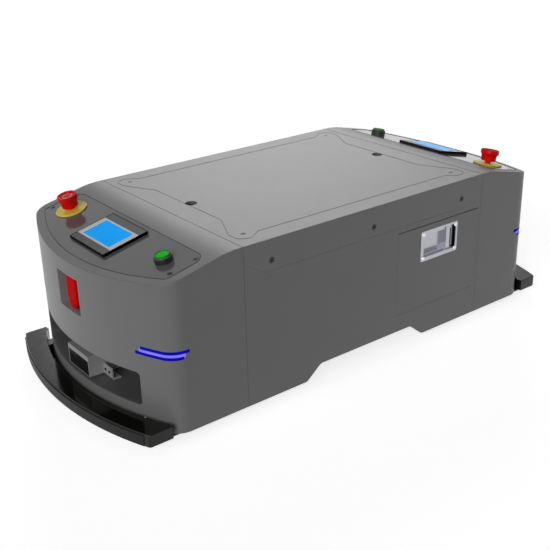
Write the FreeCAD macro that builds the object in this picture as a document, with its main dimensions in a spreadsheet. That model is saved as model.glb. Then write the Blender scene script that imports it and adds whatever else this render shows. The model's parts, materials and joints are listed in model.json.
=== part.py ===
import FreeCAD, Part
import os
import re

import Sketcher
from FreeCAD import Placement, Rotation, Vector

# Low two-ended transport robot: it drives under a trolley and raises two tow pins into it.
# The frame stands on the floor under the machine's centre: +Y rear, +X right, +Z up, millimetres.
# Both ends are the same, turned half a turn about Z, and are drawn as the front one (towards -Y).

SIZES = {
    # body
    "body_width": 480, "nose_radius": 497, "seam_position": 293, "seam_gap": 0.6,
    "deck_height": 320, "skirt_height": 20, "slope_start": 321, "slope_angle": 13,
    "crest_radius": 200, "nose_corner": 38, "shell_wall": 3, "edge_round": 2, "fit_gap": 0.3,
    # deck cover, its flanges and the deck plate with its four ears
    "cover_thickness": 6, "flange_drop": 56, "shoulder_drop": 30, "shoulder_run": 42,
    "plate_thickness": 3, "plate_width": 392, "plate_length": 490, "plate_ledge": 16,
    "ear_foot": 15, "ear_reach_x": 17, "ear_low": 9, "ear_high": 17, "ear_reach_y": 33,
    "ear_tip": 7, "ear_neck": 18, "ear_root": 110, "ear_round": 9,
    "deck_screw_x": 190, "deck_screw_y": 256, "side_screw_y": 235, "side_screw_drop": 38,
    "side_screw_width": 11, "side_screw_head": 2, "screw_width": 9.4, "screw_head": 1.5, "screw_shank": 5,
    "screw_length": 12, "screw_socket": 4,
    # side panels
    "cutout_rise": 26.5, "cutout_front": 161, "cutout_rear": 137, "cutout_slant": 33,
    "cutout_round": 14,
    # control panels on the slopes
    "panel_width": 438, "panel_start": 31.3, "panel_margin": 17, "panel_thickness": 3,
    "panel_back_corner": 22, "panel_front_corner": 12, "panel_ledge": 18, "panel_screw_x": 209.5,
    "panel_screw_back": 45.5, "panel_screw_front": 96,
    "display_width": 122, "display_start": 44.1, "display_length": 91.4, "display_rise": 5.5,
    "screen_width": 119, "screen_start": 61.6, "screen_length": 58, "screen_depth": 1.2,
    "control_x": 165, "control_distance": 78.6, "barrel_width": 22,
    "stop_ring_width": 60, "stop_ring_rise": 3, "stop_head_width": 40, "stop_head_rise": 40,
    "stop_travel": 4, "start_bezel_width": 32, "start_bezel_rise": 10.5, "start_cap_width": 27,
    "start_travel": 2.5, "stem_width": 12, "start_cap_depth": 5, "crown_rise": 3, "cap_crown": 1, "block_width": 30, "block_depth": 46, "running_gap": 0.1,
    # nose: corner lamps, scanner bay, isolator
    "lamp_bottom": 158, "lamp_height": 16, "lamp_depth": 5, "lamp_front_x": 172,
    "lamp_side_y": 408, "slot_width": 348, "slot_bottom": 60, "slot_height": 62,
    "slot_round": 7, "bay_depth": 103,
    "scanner_width": 77, "scanner_foot": 4, "scanner_height": 40, "scanner_depth": 84,
    "scanner_setback": 4, "window_height": 33, "window_depth": 14,
    "recess_width": 80, "recess_bottom": 182, "recess_height": 72, "recess_depth": 48,
    "recess_wall": 2, "recess_rim": 6, "knob_width": 36, "knob_height": 66, "knob_setback": 6,
    "spindle_width": 12,
    # bumpers
    "bumper_gap": 11, "bumper_depth": 35, "bumper_height": 24, "bumper_round": 3.5,
    "bumper_travel": 8, "arm_x": 185, "arm_width": 20, "arm_height": 12, "arm_lift": 4,
    "notch_gap": 2, "guide_width": 36, "guide_length": 40, "guide_height": 36,
    # chassis
    "base_bottom": 76, "base_thickness": 6, "rail_width": 6, "rail_drop": 26,
    "end_flange_drop": 36, "end_flange_wall": 4, "well_half_length": 85, "well_half_width": 155,
    "bay_reach": 165, "bay_inner": 30, "bay_outer": 105,
    "post_width": 20, "post_y": 293, "ring_depth": 20, "side_beam_depth": 44, "beam_y": 236,
    # casters
    "caster_x": 150, "caster_y": 330, "caster_wheel": 50, "caster_tread": 24, "caster_trail": 22,
    "caster_plate": 64, "caster_plate_thickness": 3, "caster_collar": 44, "caster_pin": 20,
    "fork_wall": 3, "fork_gap": 1, "axle_width": 8,
    # drive module
    "drive_wheel": 150, "drive_tread": 40, "drive_track": 240, "drive_hub": 44, "drive_shaft": 20,
    "gearbox_inner": 40, "gearbox_length": 55, "gearbox_width": 60, "motor_width": 58,
    "motor_length": 110, "encoder_width": 48, "encoder_length": 15, "cradle_thickness": 8,
    "cradle_width": 190, "cradle_length": 120, "suspension_travel": 6, "post_spread": 105,
    "guide_post_width": 14, "bush_width": 28, "bush_height": 40, "guide_post_top": 190,
    "collar_height": 6, "spring_wire": 2.5, "spring_width": 23, "spring_turns": 6,
    # battery drawer
    "door_front": 63, "door_rear": 286, "door_bottom": 82.3, "door_top": 251.5, "door_gap": 0.4,
    "tray_inner": 20, "tray_front": 90, "tray_rear": 279, "tray_wall": 3, "tray_height": 95,
    "runner_height": 4, "runner_width": 10, "battery_height": 146, "battery_margin": 5,
    "battery_round": 6, "handle_width": 102, "handle_height": 62, "handle_centre_y": 176.5,
    "handle_centre_z": 208, "handle_rim": 1.6, "handle_step": 6, "handle_depth": 15,
    "handle_bar": 10,
    # controller, floor guide sensors
    "controller_inner": 110, "controller_outer": 225, "controller_front": 90,
    "controller_rear": 270, "controller_height": 148, "fin_height": 8, "fin_width": 4,
    "fin_pitch": 12, "fin_count": 14,
    "sensor_width": 190, "sensor_depth": 30, "sensor_bottom": 30, "sensor_height": 30,
    # tow pins
    "tow_pin_width": 20, "tow_pin_length": 110, "tow_pin_below": 12, "tow_pin_hole": 22,
    "tow_travel": 55, "lift_width": 36, "lift_flange": 50, "lift_flange_depth": 6,
    "lift_motor_width": 32, "lift_motor_height": 40,
}

# Places and sizes that follow from the ones above.
DERIVED = {
    "half_width": "body_width/2",
    "inner_half": "body_width/2 - shell_wall",
    "base_top": "base_bottom + base_thickness",
    "base_end": "nose_radius - bay_depth - shell_wall",
    "cover_bottom": "deck_height - cover_thickness",
    "ring_bottom": "cover_bottom - ring_depth",
    "side_beam_bottom": "cover_bottom - side_beam_depth",
    "flange_bottom": "deck_height - flange_drop",
    "shoulder_z": "deck_height - shoulder_drop",
    "panel_half": "panel_width/2",
    "panel_plan_radius": "nose_radius - panel_margin",
    "panel_end": "(panel_plan_radius - slope_start)/cos(slope_angle)",
    "panel_bow": "(panel_plan_radius - sqrt(panel_plan_radius^2 - panel_half^2))/cos(slope_angle)",
    "panel_arc": "(panel_half^2 + panel_bow^2)/(2*panel_bow)",
    "panel_centre": "panel_arc - panel_end",
    "scanner_front": "nose_radius - scanner_setback",
    "bay_back": "nose_radius - bay_depth",
    "recess_back": "nose_radius - recess_depth",
    "bumper_inner": "nose_radius + bumper_gap",
    "bumper_outer": "nose_radius + bumper_gap + bumper_depth",
    "arm_bottom": "skirt_height + arm_lift",
    "axle_height": "drive_wheel/2",
    "wheel_inner": "drive_track/2 - drive_tread/2",
    "gearbox_end": "gearbox_inner + gearbox_length",
    "cradle_bottom": "drive_wheel/2 + gearbox_width/2",
    "cradle_top": "cradle_bottom + cradle_thickness",
    "bush_bottom": "cradle_bottom - 10",
    "bush_top": "bush_bottom + bush_height",
    "caster_head": "base_bottom - caster_plate_thickness",
    "fork_top": "caster_head - caster_collar_depth - fit_gap",
    "caster_collar_depth": "7",
    "tray_bottom": "base_top + runner_height + fit_gap",
    "tray_floor": "tray_bottom + tray_wall",
    "door_inner": "inner_half + fit_gap",
    "tow_pin_top": "deck_height - tow_pin_below",
    "tow_pin_bottom": "tow_pin_top - tow_pin_length",
}

SHEET = "Sizes"
doc = FreeCAD.newDocument("Robot")
sheet = doc.addObject("Spreadsheet::Sheet", SHEET)
for row, (alias, size) in enumerate(SIZES.items(), 1):
    sheet.set(f"A{row}", alias)
    sheet.set(f"B{row}", str(size))
    sheet.setAlias(f"B{row}", alias)
doc.recompute()

nodes = []


# ---------------------------------------------------------------- expressions and placing

def sized(text):
    """Write a formula in sheet names: spell out derived names, then prefix the sheet's aliases."""
    def spell(match):
        word = match[0]
        if word in DERIVED:
            return "(" + sized(DERIVED[word]) + ")"
        return f"{SHEET}.{word}" if word in SIZES else word
    return re.sub(r"[a-z][a-z_]*", spell, str(text))


def value(text):
    """Work a formula out from the sheet."""
    return float(sheet.evalExpression(sized(text)))


def placed(x="0", y="0", z="0", axis=(0, 0, 1), angle="0"):
    """Formula of a placement: a turn about an axis, then a shift."""
    shift = f"create(<<vector>>; {sized(x)}; {sized(y)}; {sized(z)})"
    about = "create(<<vector>>; {}; {}; {})".format(*axis)
    return f"create(<<placement>>; {shift}; create(<<rotation>>; {about}; {sized(angle)}))"


def span(side, inner, outer):
    """Left and right bound of a stretch on one side of the middle; side is "" or "-"."""
    return (f"-({outer})", f"-({inner})") if side else (inner, outer)


HALF_TURN = placed(angle="180")
ON_SLOPE = placed(y="-slope_start", z="deck_height", axis=(1, 0, 0), angle="slope_angle")


def place(item, *formulas):
    """Bind an object's placement to the product of placement formulas."""
    if formulas:
        item.setExpression("Placement", " * ".join(formulas))


def at_end(turned, *formulas):
    """Placement formulas of a piece at the front end, or turned round to the rear end."""
    return ((HALF_TURN,) if turned else ()) + formulas


# ---------------------------------------------------------------- sketches

def sketch(body, plane, offset="0", on=None):
    """Add a sketch on an origin plane of its body, moved along the plane's normal or laid ON a
    placement formula."""
    item = body.newObject("Sketcher::SketchObject", "Sketch")
    support = next(f for f in body.Origin.OriginFeatures if f.Role == plane + "_Plane")
    item.AttachmentSupport = [(support, "")]
    item.MapMode = "FlatFace"
    if on:
        item.setExpression("AttachmentOffset", on)
    else:
        item.setExpression("AttachmentOffset.Base.z", sized(offset))
    return item


def sketch_on_slope(body, z="0"):
    """Add a sketch parallel to the control slope, a height above it."""
    return sketch(body, "XY", on=ON_SLOPE + " * " + placed(z=z))


def bow(start, end, radius):
    """Arc from start to end that bulges to the right of its chord, or to the left where the
    radius is negative."""
    chord = end - start
    half = chord.Length / 2
    rise = abs(radius) - (radius ** 2 - half ** 2) ** 0.5
    side = Vector(chord.y, -chord.x, 0).normalize()
    top = (start + end) / 2 + side * rise * (1 if radius > 0 else -1)
    return Part.Arc(start, top, end)


def bind(item, constraint, formula):
    """Add a constraint whose datum follows a formula."""
    index = item.addConstraint(constraint)
    item.setExpression(f"Constraints[{index}]", sized(formula))


def pin_point(item, edge, end, x, y):
    """Hold one point of a sketch edge at (x, y)."""
    bind(item, Sketcher.Constraint("DistanceX", -1, 1, edge, end, value(x)), x)
    bind(item, Sketcher.Constraint("DistanceY", -1, 1, edge, end, value(y)), y)


def outline(item, path):
    """Draw a closed outline counter-clockwise. A vertex is (x, y), or (x, y, radius) where an arc
    leads to it from the vertex before."""
    corners = [Vector(value(v[0]), value(v[1]), 0) for v in path]
    edges = []
    for n, vertex in enumerate(path):
        if len(vertex) == 3:
            edge = bow(corners[n - 1], corners[n], value(vertex[2]))
        else:
            edge = Part.LineSegment(corners[n - 1], corners[n])
        edges.append(item.addGeometry(edge, False))

    def end_at(edge, corner):
        return 1 if item.getPoint(edge, 1).distanceToPoint(corner) < 1e-4 else 2

    for n, vertex in enumerate(path):
        edge, following = edges[n], edges[(n + 1) % len(path)]
        end = end_at(edge, corners[n])
        item.addConstraint(Sketcher.Constraint(
            "Coincident", edge, end, following, end_at(following, corners[n])))
        pin_point(item, edge, end, vertex[0], vertex[1])
        if len(vertex) == 3:
            radius = f"abs({vertex[2]})"
            bind(item, Sketcher.Constraint("Radius", edge, abs(value(vertex[2]))), radius)
    return item


def circle(item, x, y, width):
    """Draw a circle."""
    edge = item.addGeometry(Part.Circle(Vector(value(x), value(y), 0), Vector(0, 0, 1),
                                        value(width) / 2), False)
    bind(item, Sketcher.Constraint("Diameter", edge, value(width)), width)
    pin_point(item, edge, 3, x, y)
    return item


def rectangle(item, left, right, bottom, top):
    """Draw a rectangle."""
    return outline(item, [(left, bottom), (right, bottom), (right, top), (left, top)])


def rounded(item, left, right, bottom, top, r):
    """Draw a rectangle with rounded corners."""
    return outline(item, [
        (f"{left} + {r}", bottom, r), (f"{right} - {r}", bottom),
        (right, f"{bottom} + {r}", r), (right, f"{top} - {r}"),
        (f"{right} - {r}", top, r), (f"{left} + {r}", top),
        (left, f"{top} - {r}", r), (left, f"{bottom} + {r}"),
    ])


def bowed_end(item, half, back, radius, corner, centre="0", back_corner=None):
    """Draw a plate with straight sides and a front edge bowed about (0, centre), its front corners
    rounded tangent to both."""
    half, radius, corner = f"({half})", f"({radius})", f"({corner})"
    drop = f"sqrt(({radius} - {corner})^2 - ({half} - {corner})^2)"
    side_y = f"{centre} - {drop}"
    tip_x = f"({half} - {corner})*{radius}/({radius} - {corner})"
    tip_y = f"{centre} - {drop}*{radius}/({radius} - {corner})"
    path = [(f"-{half}", side_y), (f"-{tip_x}", tip_y, corner), (tip_x, tip_y, radius),
            (half, side_y, corner)]
    if back_corner:
        path += [(half, f"{back} - {back_corner}"), (f"{half} - {back_corner}", back, back_corner),
                 (f"{back_corner} - {half}", back), (f"-{half}", f"{back} - {back_corner}",
                                                     back_corner)]
    else:
        path += [(half, back), (f"-{half}", back)]
    return outline(item, path)


# ---------------------------------------------------------------- features

def new_body(label):
    """Start a sub-part that is written to its own file."""
    body = doc.addObject("PartDesign::Body", label)
    body.Label = label
    body.AllowCompound = True
    nodes.append(body)
    return body


def volume(body):
    return body.Tip.Shape.Volume if body.Tip else 0.0


def grow(kind, profile, length, symmetric=False, reverse=False):
    """Pad or pocket a sketch along its normal and make sure that it changed the solid."""
    body = profile.getParentGeoFeatureGroup()
    before = volume(body)
    feature = body.newObject("PartDesign::" + kind, kind)
    feature.Profile = profile
    feature.setExpression("Length", sized(length))
    if symmetric:
        feature.SideType = "Symmetric"
    feature.Reversed = reverse if kind == "Pad" else not reverse
    doc.recompute()
    change = feature.Shape.Volume - before
    if change * (1 if kind == "Pad" else -1) < 1e-3:
        raise RuntimeError(f"{body.Label}: {feature.Name} changed the volume by {change}")
    return feature


def pad(profile, length, **options):
    return grow("Pad", profile, length, **options)


def pocket(profile, length, **options):
    """Cut along the sketch's normal, or against it where reverse is set."""
    return grow("Pocket", profile, length, **options)


def turn(profile, axis="V_Axis", cut=False):
    """Revolve or groove a sketch a full turn about one of its axes."""
    body = profile.getParentGeoFeatureGroup()
    before = volume(body)
    kind = "Groove" if cut else "Revolution"
    feature = body.newObject("PartDesign::" + kind, kind)
    feature.Profile = profile
    feature.ReferenceAxis = (profile, [axis])
    feature.Angle = 360
    doc.recompute()
    if abs(feature.Shape.Volume - before) < 1e-3:
        raise RuntimeError(f"{body.Label}: {feature.Name} changed nothing")
    return feature


def dress(kind, body, test, size, prop):
    """Fillet or chamfer the edges whose bounding box passes the test."""
    base = body.Tip
    names = [f"Edge{n}" for n, edge in enumerate(base.Shape.Edges, 1) if test(edge.BoundBox)]
    if not names:
        raise RuntimeError(f"{body.Label}: no edge to {kind.lower()}")
    feature = body.newObject("PartDesign::" + kind, kind)
    feature.Base = (base, names)
    feature.setExpression(prop, sized(size))
    doc.recompute()
    return feature


def fillet(body, test, radius):
    return dress("Fillet", body, test, radius, "Radius")


def chamfer(body, test, size):
    return dress("Chamfer", body, test, size, "Size")


def near(a, b):
    return abs(a - b) < 0.02


def upright(box):
    """Edge parallel to Z."""
    return box.ZLength > 0.1 and box.XLength < 0.02 and box.YLength < 0.02


def level(z):
    """Test for edges that lie at one height."""
    height = value(z)
    return lambda box: near(box.ZMin, height) and near(box.ZMax, height)


def hollow(body, open_face, wall):
    """Shell the solid inwards, leaving the faces that pass the test open."""
    base = body.Tip
    faces = [f"Face{n}" for n, face in enumerate(base.Shape.Faces, 1) if open_face(face.BoundBox)]
    feature = body.newObject("PartDesign::Thickness", "Thickness")
    feature.Base = (base, faces)
    feature.setExpression("Value", sized(wall))
    feature.Reversed = True
    feature.Join = 1
    doc.recompute()
    return feature


def pattern(body, features, kind, **settings):
    """Repeat features in a row or round an axis, and make the repeat the body's tip."""
    feature = body.newObject("PartDesign::" + kind, kind)
    feature.Originals = features
    for name, setting in settings.items():
        setattr(feature, name, setting)
    body.Tip = feature
    doc.recompute()
    return feature


def axis_of(body, role):
    return (next(f for f in body.Origin.OriginFeatures if f.Role == role), [""])


def mirrored(body, features, role):
    """Repeat features across an origin plane of the body."""
    return pattern(body, features, "Mirrored", MirrorPlane=axis_of(body, role))


def group(label, template, places):
    """A node of separate identical solids: linked copies of a template body."""
    copies = []
    for n, formulas in enumerate(places):
        copy = doc.addObject("App::Link", f"{label}_{n}")
        copy.LinkedObject = template
        copy.setExpression("LinkPlacement", " * ".join(formulas))
        copies.append(copy)
    compound = doc.addObject("Part::Compound", label)
    compound.Label = label
    compound.Links = copies
    nodes.append(compound)
    doc.recompute()
    return compound


def template(label):
    """Start a body that is only copied, not written by itself."""
    body = new_body(label)
    nodes.remove(body)
    return body


# ---------------------------------------------------------------- casing

def nose_plan(profile, inset="0", back="-seam_position - seam_gap/2"):
    """Plan of one end of the casing, or the same plan set in by a wall."""
    return bowed_end(profile, f"half_width - {inset}", back, f"nose_radius - {inset}",
                     f"nose_corner - {inset}")


def panel_plan(item, inset):
    """Outline of the control panel in the slope's plane, set in by a gap."""
    return bowed_end(item, f"panel_half - {inset}", f"-panel_start - {inset}",
                     f"panel_arc - {inset}", "panel_front_corner", "panel_centre",
                     "panel_back_corner")


def nose_shell(label, turned, isolator):
    """Moulded hood: bowed nose, rolled crest, control slope with a sunk ledge, lamp windows,
    scanner slot, bumper notches and, at the front, the isolator opening."""
    shell = new_body(label)
    pad(nose_plan(sketch(shell, "XY", "skirt_height")), "deck_height - skirt_height")
    far = "(nose_radius + 10)"
    wedge = outline(sketch(shell, "YZ"), [
        ("-slope_start", "deck_height"), ("-slope_start", "deck_height + 10"),
        (f"-{far}", "deck_height + 10"),
        (f"-{far}", f"deck_height - tan(slope_angle)*({far} - slope_start)")])
    pocket(wedge, "body_width + 2*shell_wall", symmetric=True)
    crest = -value("slope_start")
    fillet(shell, lambda b: near(b.YMin, crest) and near(b.YMax, crest) and b.XLength > 10,
           "crest_radius")
    back = -value("seam_position + seam_gap/2")
    bottom = value("skirt_height")
    hollow(shell, lambda b: near(b.YMin, back) and near(b.YMax, back)
           or near(b.ZMin, bottom) and near(b.ZMax, bottom), "shell_wall")
    outer = value("half_width")
    rim = value("nose_radius")
    low = value("deck_height - tan(slope_angle)*(nose_radius - slope_start) - 1")
    fillet(shell, lambda b: b.ZMin > low and b.YLength > 0.1 and (
        near(b.XMax, outer) or near(b.XMin, -outer) or near(b.YMin, -rim)), "edge_round")

    pad(panel_plan(sketch_on_slope(shell, "-panel_thickness"), "-panel_ledge/2"), "shell_wall",
        reverse=True)
    pocket(panel_plan(sketch_on_slope(shell, "1"), "0"), "panel_thickness + 1", reverse=True)
    pocket(panel_plan(sketch_on_slope(shell, "1"), "panel_ledge"),
           "panel_thickness + shell_wall + 2", reverse=True)
    for x, distance in PANEL_SCREWS:
        pocket(circle(sketch_on_slope(shell), x, f"-({distance})", "screw_shank"),
               "2*shell_wall + 1", reverse=True)

    slot = rounded(sketch(shell, "XZ", "bay_back"), "-slot_width/2", "slot_width/2",
                   "slot_bottom", "slot_bottom + slot_height", "slot_round")
    pocket(slot, "2*bay_depth")
    if isolator:
        opening = rectangle(sketch(shell, "XZ", "recess_back"),
                            "-recess_width/2 - fit_gap", "recess_width/2 + fit_gap",
                            "recess_bottom - fit_gap", "recess_bottom + recess_height + fit_gap")
        pocket(opening, "2*recess_depth")
    for side in ("", "-"):
        lamps = rectangle(sketch(shell, "XY", "lamp_bottom"),
                          *span(side, "lamp_front_x", "half_width + 10"),
                          "-nose_radius", "-lamp_side_y")
        pocket(lamps, "lamp_height")
        notch = rectangle(sketch(shell, "XY", "skirt_height - 1"),
                          *span(side, "arm_x - arm_width/2 - notch_gap",
                                       "arm_x + arm_width/2 + notch_gap"),
                          "-nose_radius", "-bay_back")
        pocket(notch, "arm_lift + arm_height + notch_gap + 1")
    place(shell, *at_end(turned))
    return shell


def corner_lamps(label):
    """Four light strips that fill the corner windows, flush with the casing."""
    strips = template("corner_lamp_pair")
    pad(nose_plan(sketch(strips, "XY", "lamp_bottom + fit_gap")), "lamp_height - 2*fit_gap")
    pocket(nose_plan(sketch(strips, "XY", "lamp_bottom"), "lamp_depth", "-lamp_side_y + 50"),
           "lamp_height")
    middle = rectangle(sketch(strips, "XY", "lamp_bottom"), "-lamp_front_x - fit_gap",
                       "lamp_front_x + fit_gap", "-nose_radius - 1", "0")
    pocket(middle, "lamp_height")
    sides = rectangle(sketch(strips, "XY", "lamp_bottom"), "-half_width - 1", "half_width + 1",
                      "-lamp_side_y - fit_gap", "0")
    pocket(sides, "lamp_height")
    return group(label, strips, [[placed()], [HALF_TURN]])


def deck_cover(label):
    """Folded cover: recessed top with an access opening under the deck plate, and side flanges
    whose ends slant up to the seams."""
    cover = new_body(label)
    section = outline(sketch(cover, "XZ"), [
        ("-half_width", "flange_bottom"), ("-inner_half", "flange_bottom"),
        ("-inner_half", "cover_bottom"), ("inner_half", "cover_bottom"),
        ("inner_half", "flange_bottom"), ("half_width", "flange_bottom"),
        ("half_width", "deck_height"), ("-half_width", "deck_height")])
    pad(section, "2*seam_position - seam_gap", symmetric=True)
    for end in ("", "-"):
        seam, inner = f"{end}(seam_position + 1)", f"{end}(seam_position - shoulder_run)"
        shoulder = f"shoulder_z + (shoulder_z - flange_bottom)/shoulder_run"
        low = [(inner, "flange_bottom"), (seam, shoulder), (seam, "flange_bottom")]
        corner = outline(sketch(cover, "YZ"), low if end else low[::-1])
        pocket(corner, "body_width + 2", symmetric=True)
    side = value("half_width")
    top = level("deck_height")
    fillet(cover, lambda b: top(b) and near(abs(b.XMin), side) and b.XLength < 0.02,
           "edge_round")
    pocket(deck_plate_plan(sketch(cover, "XY", "deck_height"), "(0 - fit_gap)"),
           "plate_thickness", reverse=True)
    recess_floor = value("cover_bottom")
    fillet(cover, lambda b: upright(b) and b.ZMin > recess_floor + 0.1, "ear_round")
    opening = rectangle(sketch(cover, "XY", "deck_height"),
                        "-plate_width/2 + plate_ledge", "plate_width/2 - plate_ledge",
                        "-plate_length/2 + plate_ledge + tow_pin_hole + 14",
                        "plate_length/2 - plate_ledge - tow_pin_hole - 14")
    pocket(opening, "cover_thickness", reverse=True)
    tow_pin_holes(cover)
    for x, y in DECK_SCREWS:
        pocket(circle(sketch(cover, "XY", "deck_height"), x, y, "screw_shank"),
               "cover_thickness", reverse=True)
    recesses = []
    for y in SIDE_SCREWS:
        recesses.append(pocket(circle(sketch(cover, "YZ", "half_width"), y, SIDE_SCREW_Z,
                                      "side_screw_width + 2*fit_gap"), "side_screw_head",
                               reverse=True))
        recesses.append(pocket(circle(sketch(cover, "YZ", "half_width"), y, SIDE_SCREW_Z,
                                      "screw_shank"), "shell_wall", reverse=True))
    mirrored(cover, recesses, "YZ_Plane")
    return cover


def tow_pin_holes(body):
    """Holes in the deck that the tow pins rise through."""
    for end in ("", "-"):
        pocket(circle(sketch(body, "XY", "deck_height"), "0", f"{end}beam_y", "tow_pin_hole"),
               "cover_thickness", reverse=True)


def deck_plate_plan(item, inset):
    """Outline of the deck plate: a rectangle with a slanted ear at each corner."""
    half_x, half_y = f"plate_width/2 - {inset}", f"plate_length/2 - {inset}"
    ear = [(half_x, f"{half_y} - ear_foot"), (f"{half_x} + ear_reach_x", f"{half_y} + ear_low"),
           (f"{half_x} + ear_reach_x", f"{half_y} + ear_high"),
           (f"{half_x} + ear_tip", f"{half_y} + ear_reach_y"),
           (f"{half_x} - ear_neck", f"{half_y} + ear_reach_y"), ("ear_root", half_y)]
    path = list(ear)
    path += [(f"-({x})", y) for x, y in reversed(ear)]
    path += [(f"-({x})", f"-({y})") for x, y in ear]
    path += [(x, f"-({y})") for x, y in reversed(ear)]
    return outline(item, path)


def deck_plate(label):
    """Flush access plate with screwed ears."""
    plate = new_body(label)
    pad(deck_plate_plan(sketch(plate, "XY", "deck_height"), "0"), "plate_thickness",
        reverse=True)
    fillet(plate, upright, "ear_round")
    for x, y in DECK_SCREWS:
        pocket(circle(sketch(plate, "XY", "deck_height"), x, y, "screw_width + 2*fit_gap"),
               "screw_head", reverse=True)
        pocket(circle(sketch(plate, "XY", "deck_height"), x, y, "screw_shank"),
               "plate_thickness", reverse=True)
    tow_pin_holes(plate)
    return plate


def side_panel(label, turned, drawer):
    """Lower side panel with a raised skirt cut-out, slanted upper ears and, on the right, the
    drawer opening."""
    panel = new_body(label)
    end = "(seam_position - seam_gap/2)"
    ear_run = "(shoulder_run - seam_gap/2)"
    top = "(flange_bottom - fit_gap)"
    low = "skirt_height"
    rise = "(skirt_height + cutout_rise)"
    plan = outline(sketch(panel, "YZ", "inner_half"), [
        (f"-{end}", low), ("-cutout_front", low),
        ("cutout_slant - cutout_front", rise), ("cutout_rear - cutout_slant", rise),
        ("cutout_rear", low), (end, low), (end, "shoulder_z - fit_gap"),
        (f"{end} - {ear_run}", top), (f"{ear_run} - {end}", top),
        (f"-{end}", "shoulder_z - fit_gap")])
    pad(plan, "shell_wall")
    lifted = value("skirt_height + cutout_rise + 1")
    inside = value("cutout_front + 1")
    fillet(panel, lambda b: b.XLength > 1 and b.YLength < 0.02 and b.ZMax < lifted
           and abs(b.YMin) < inside, "cutout_round")
    if drawer:
        opening = rectangle(sketch(panel, "YZ", "inner_half"), "door_front", "door_rear",
                            "door_bottom - door_gap", "door_top")
        pocket(opening, "shell_wall")
    place(panel, *at_end(turned))
    return panel


def screw(label, width, head):
    """Low round-headed screw with a socket, its head's top at z 0."""
    body = template(label)
    turn(outline(sketch(body, "XZ"), [
        ("0", "-screw_length"), ("screw_shank/2 - running_gap", "-screw_length"),
        ("screw_shank/2 - running_gap", f"-{head}"), (f"{width}/2", f"-{head}"),
        (f"{width}/2", "-0.4"), (f"{width}/2 - 0.4", "0"), ("0", "0")]))
    pocket(circle(sketch(body, "XY"), "0", "0", "screw_socket"), f"{head}*0.8", reverse=True)
    return body


def casing_screws(label):
    """Screws of the deck plate and of both control panels."""
    low_head = screw("low_head_screw", "screw_width", "screw_head")
    places = [[placed(x, y, "deck_height")] for x, y in DECK_SCREWS]
    for turned in (False, True):
        places += [at_end(turned, ON_SLOPE, placed(x, f"-({distance})"))
                   for x, distance in PANEL_SCREWS]
    return group(label, low_head, places)


def side_screws(label):
    """Screws of the deck cover's side flanges."""
    wide_head = screw("wide_head_screw", "side_screw_width", "side_screw_head")
    outward = placed(axis=(0, 1, 0), angle="90")
    places = [[*turn_round, placed("half_width", y, SIDE_SCREW_Z), outward]
              for turn_round in ([], [HALF_TURN]) for y in SIDE_SCREWS]
    return group(label, wide_head, places)


# ---------------------------------------------------------------- controls on the slopes

def control_panel(label, turned):
    """Glossy plate that fills the slope opening, drilled for the controls and its screws."""
    panel = new_body(label)
    pad(panel_plan(sketch(panel, "XY"), "fit_gap"), "panel_thickness", reverse=True)
    for side in ("", "-"):
        pocket(circle(sketch(panel, "XY"), f"{side}control_x", "-control_distance",
                      "barrel_width + 2*fit_gap"), "panel_thickness", reverse=True)
    for x, distance in PANEL_SCREWS:
        pocket(circle(sketch(panel, "XY"), x, f"-({distance})", "screw_width + 2*fit_gap"),
               "screw_head", reverse=True)
        pocket(circle(sketch(panel, "XY"), x, f"-({distance})", "screw_shank"),
               "panel_thickness", reverse=True)
    place(panel, *at_end(turned, ON_SLOPE))
    return panel


def display(label, turned):
    """Raised display housing with a pocket for the screen."""
    housing = new_body(label)
    plan = rounded(sketch(housing, "XY"), "-display_width/2", "display_width/2",
                   "-display_start - display_length", "-display_start", "3")
    pad(plan, "display_rise")
    top = level("display_rise")
    fillet(housing, top, "1.2")
    pocket(screen_plan(sketch(housing, "XY", "display_rise"), "0"), "screen_depth", reverse=True)
    place(housing, *at_end(turned, ON_SLOPE))
    return housing


def screen_plan(item, inset):
    """Outline of the screen's front glass, set in by a gap."""
    return rectangle(item, f"{inset} - screen_width/2", f"screen_width/2 - {inset}",
                     f"{inset} - screen_start - screen_length", f"-screen_start - {inset}")


def display_screen(label, turned):
    """Glass of the display, flush in its pocket."""
    glass = new_body(label)
    pad(screen_plan(sketch(glass, "XY", "display_rise"), "fit_gap/2"), "screen_depth",
        reverse=True)
    place(glass, *at_end(turned, ON_SLOPE))
    return glass


def barrel_profile(body, bore, flange):
    """Half section of a panel-mounted control, axis up: the flange's stepped top, then the barrel
    with its nut behind the panel, bored from above for a plunger."""
    nut = "(barrel_width/2 + 4)"
    return outline(sketch(body, "XZ"), [
        (bore, "-block_depth/2"), ("barrel_width/2", "-block_depth/2"),
        ("barrel_width/2", "-panel_thickness - 6"), (nut, "-panel_thickness - 6"),
        (nut, "-panel_thickness"), ("barrel_width/2", "-panel_thickness"),
        ("barrel_width/2", "0")] + flange)


def contact_block(body):
    """Switch block behind a control."""
    plan = rectangle(sketch(body, "XY", "-block_depth"), "-block_width/2", "block_width/2",
                     "-block_width/2", "block_width/2")
    pad(plan, "block_depth/2")


def stop_ring(label, turned):
    """Emergency-stop base: flat ring on the panel, barrel, nut and contact block."""
    ring = new_body(label)
    bore = "(stem_width/2 + running_gap)"
    turn(barrel_profile(ring, bore, [
        ("stop_ring_width/2 - 1", "0"), ("stop_ring_width/2", "1"),
        ("stop_ring_width/2", "stop_ring_rise - 1"), ("stop_ring_width/2 - 1", "stop_ring_rise"),
        (bore, "stop_ring_rise")]))
    contact_block(ring)
    place(ring, *at_end(turned, ON_SLOPE, placed("-control_x", "-control_distance")))
    return ring


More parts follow.
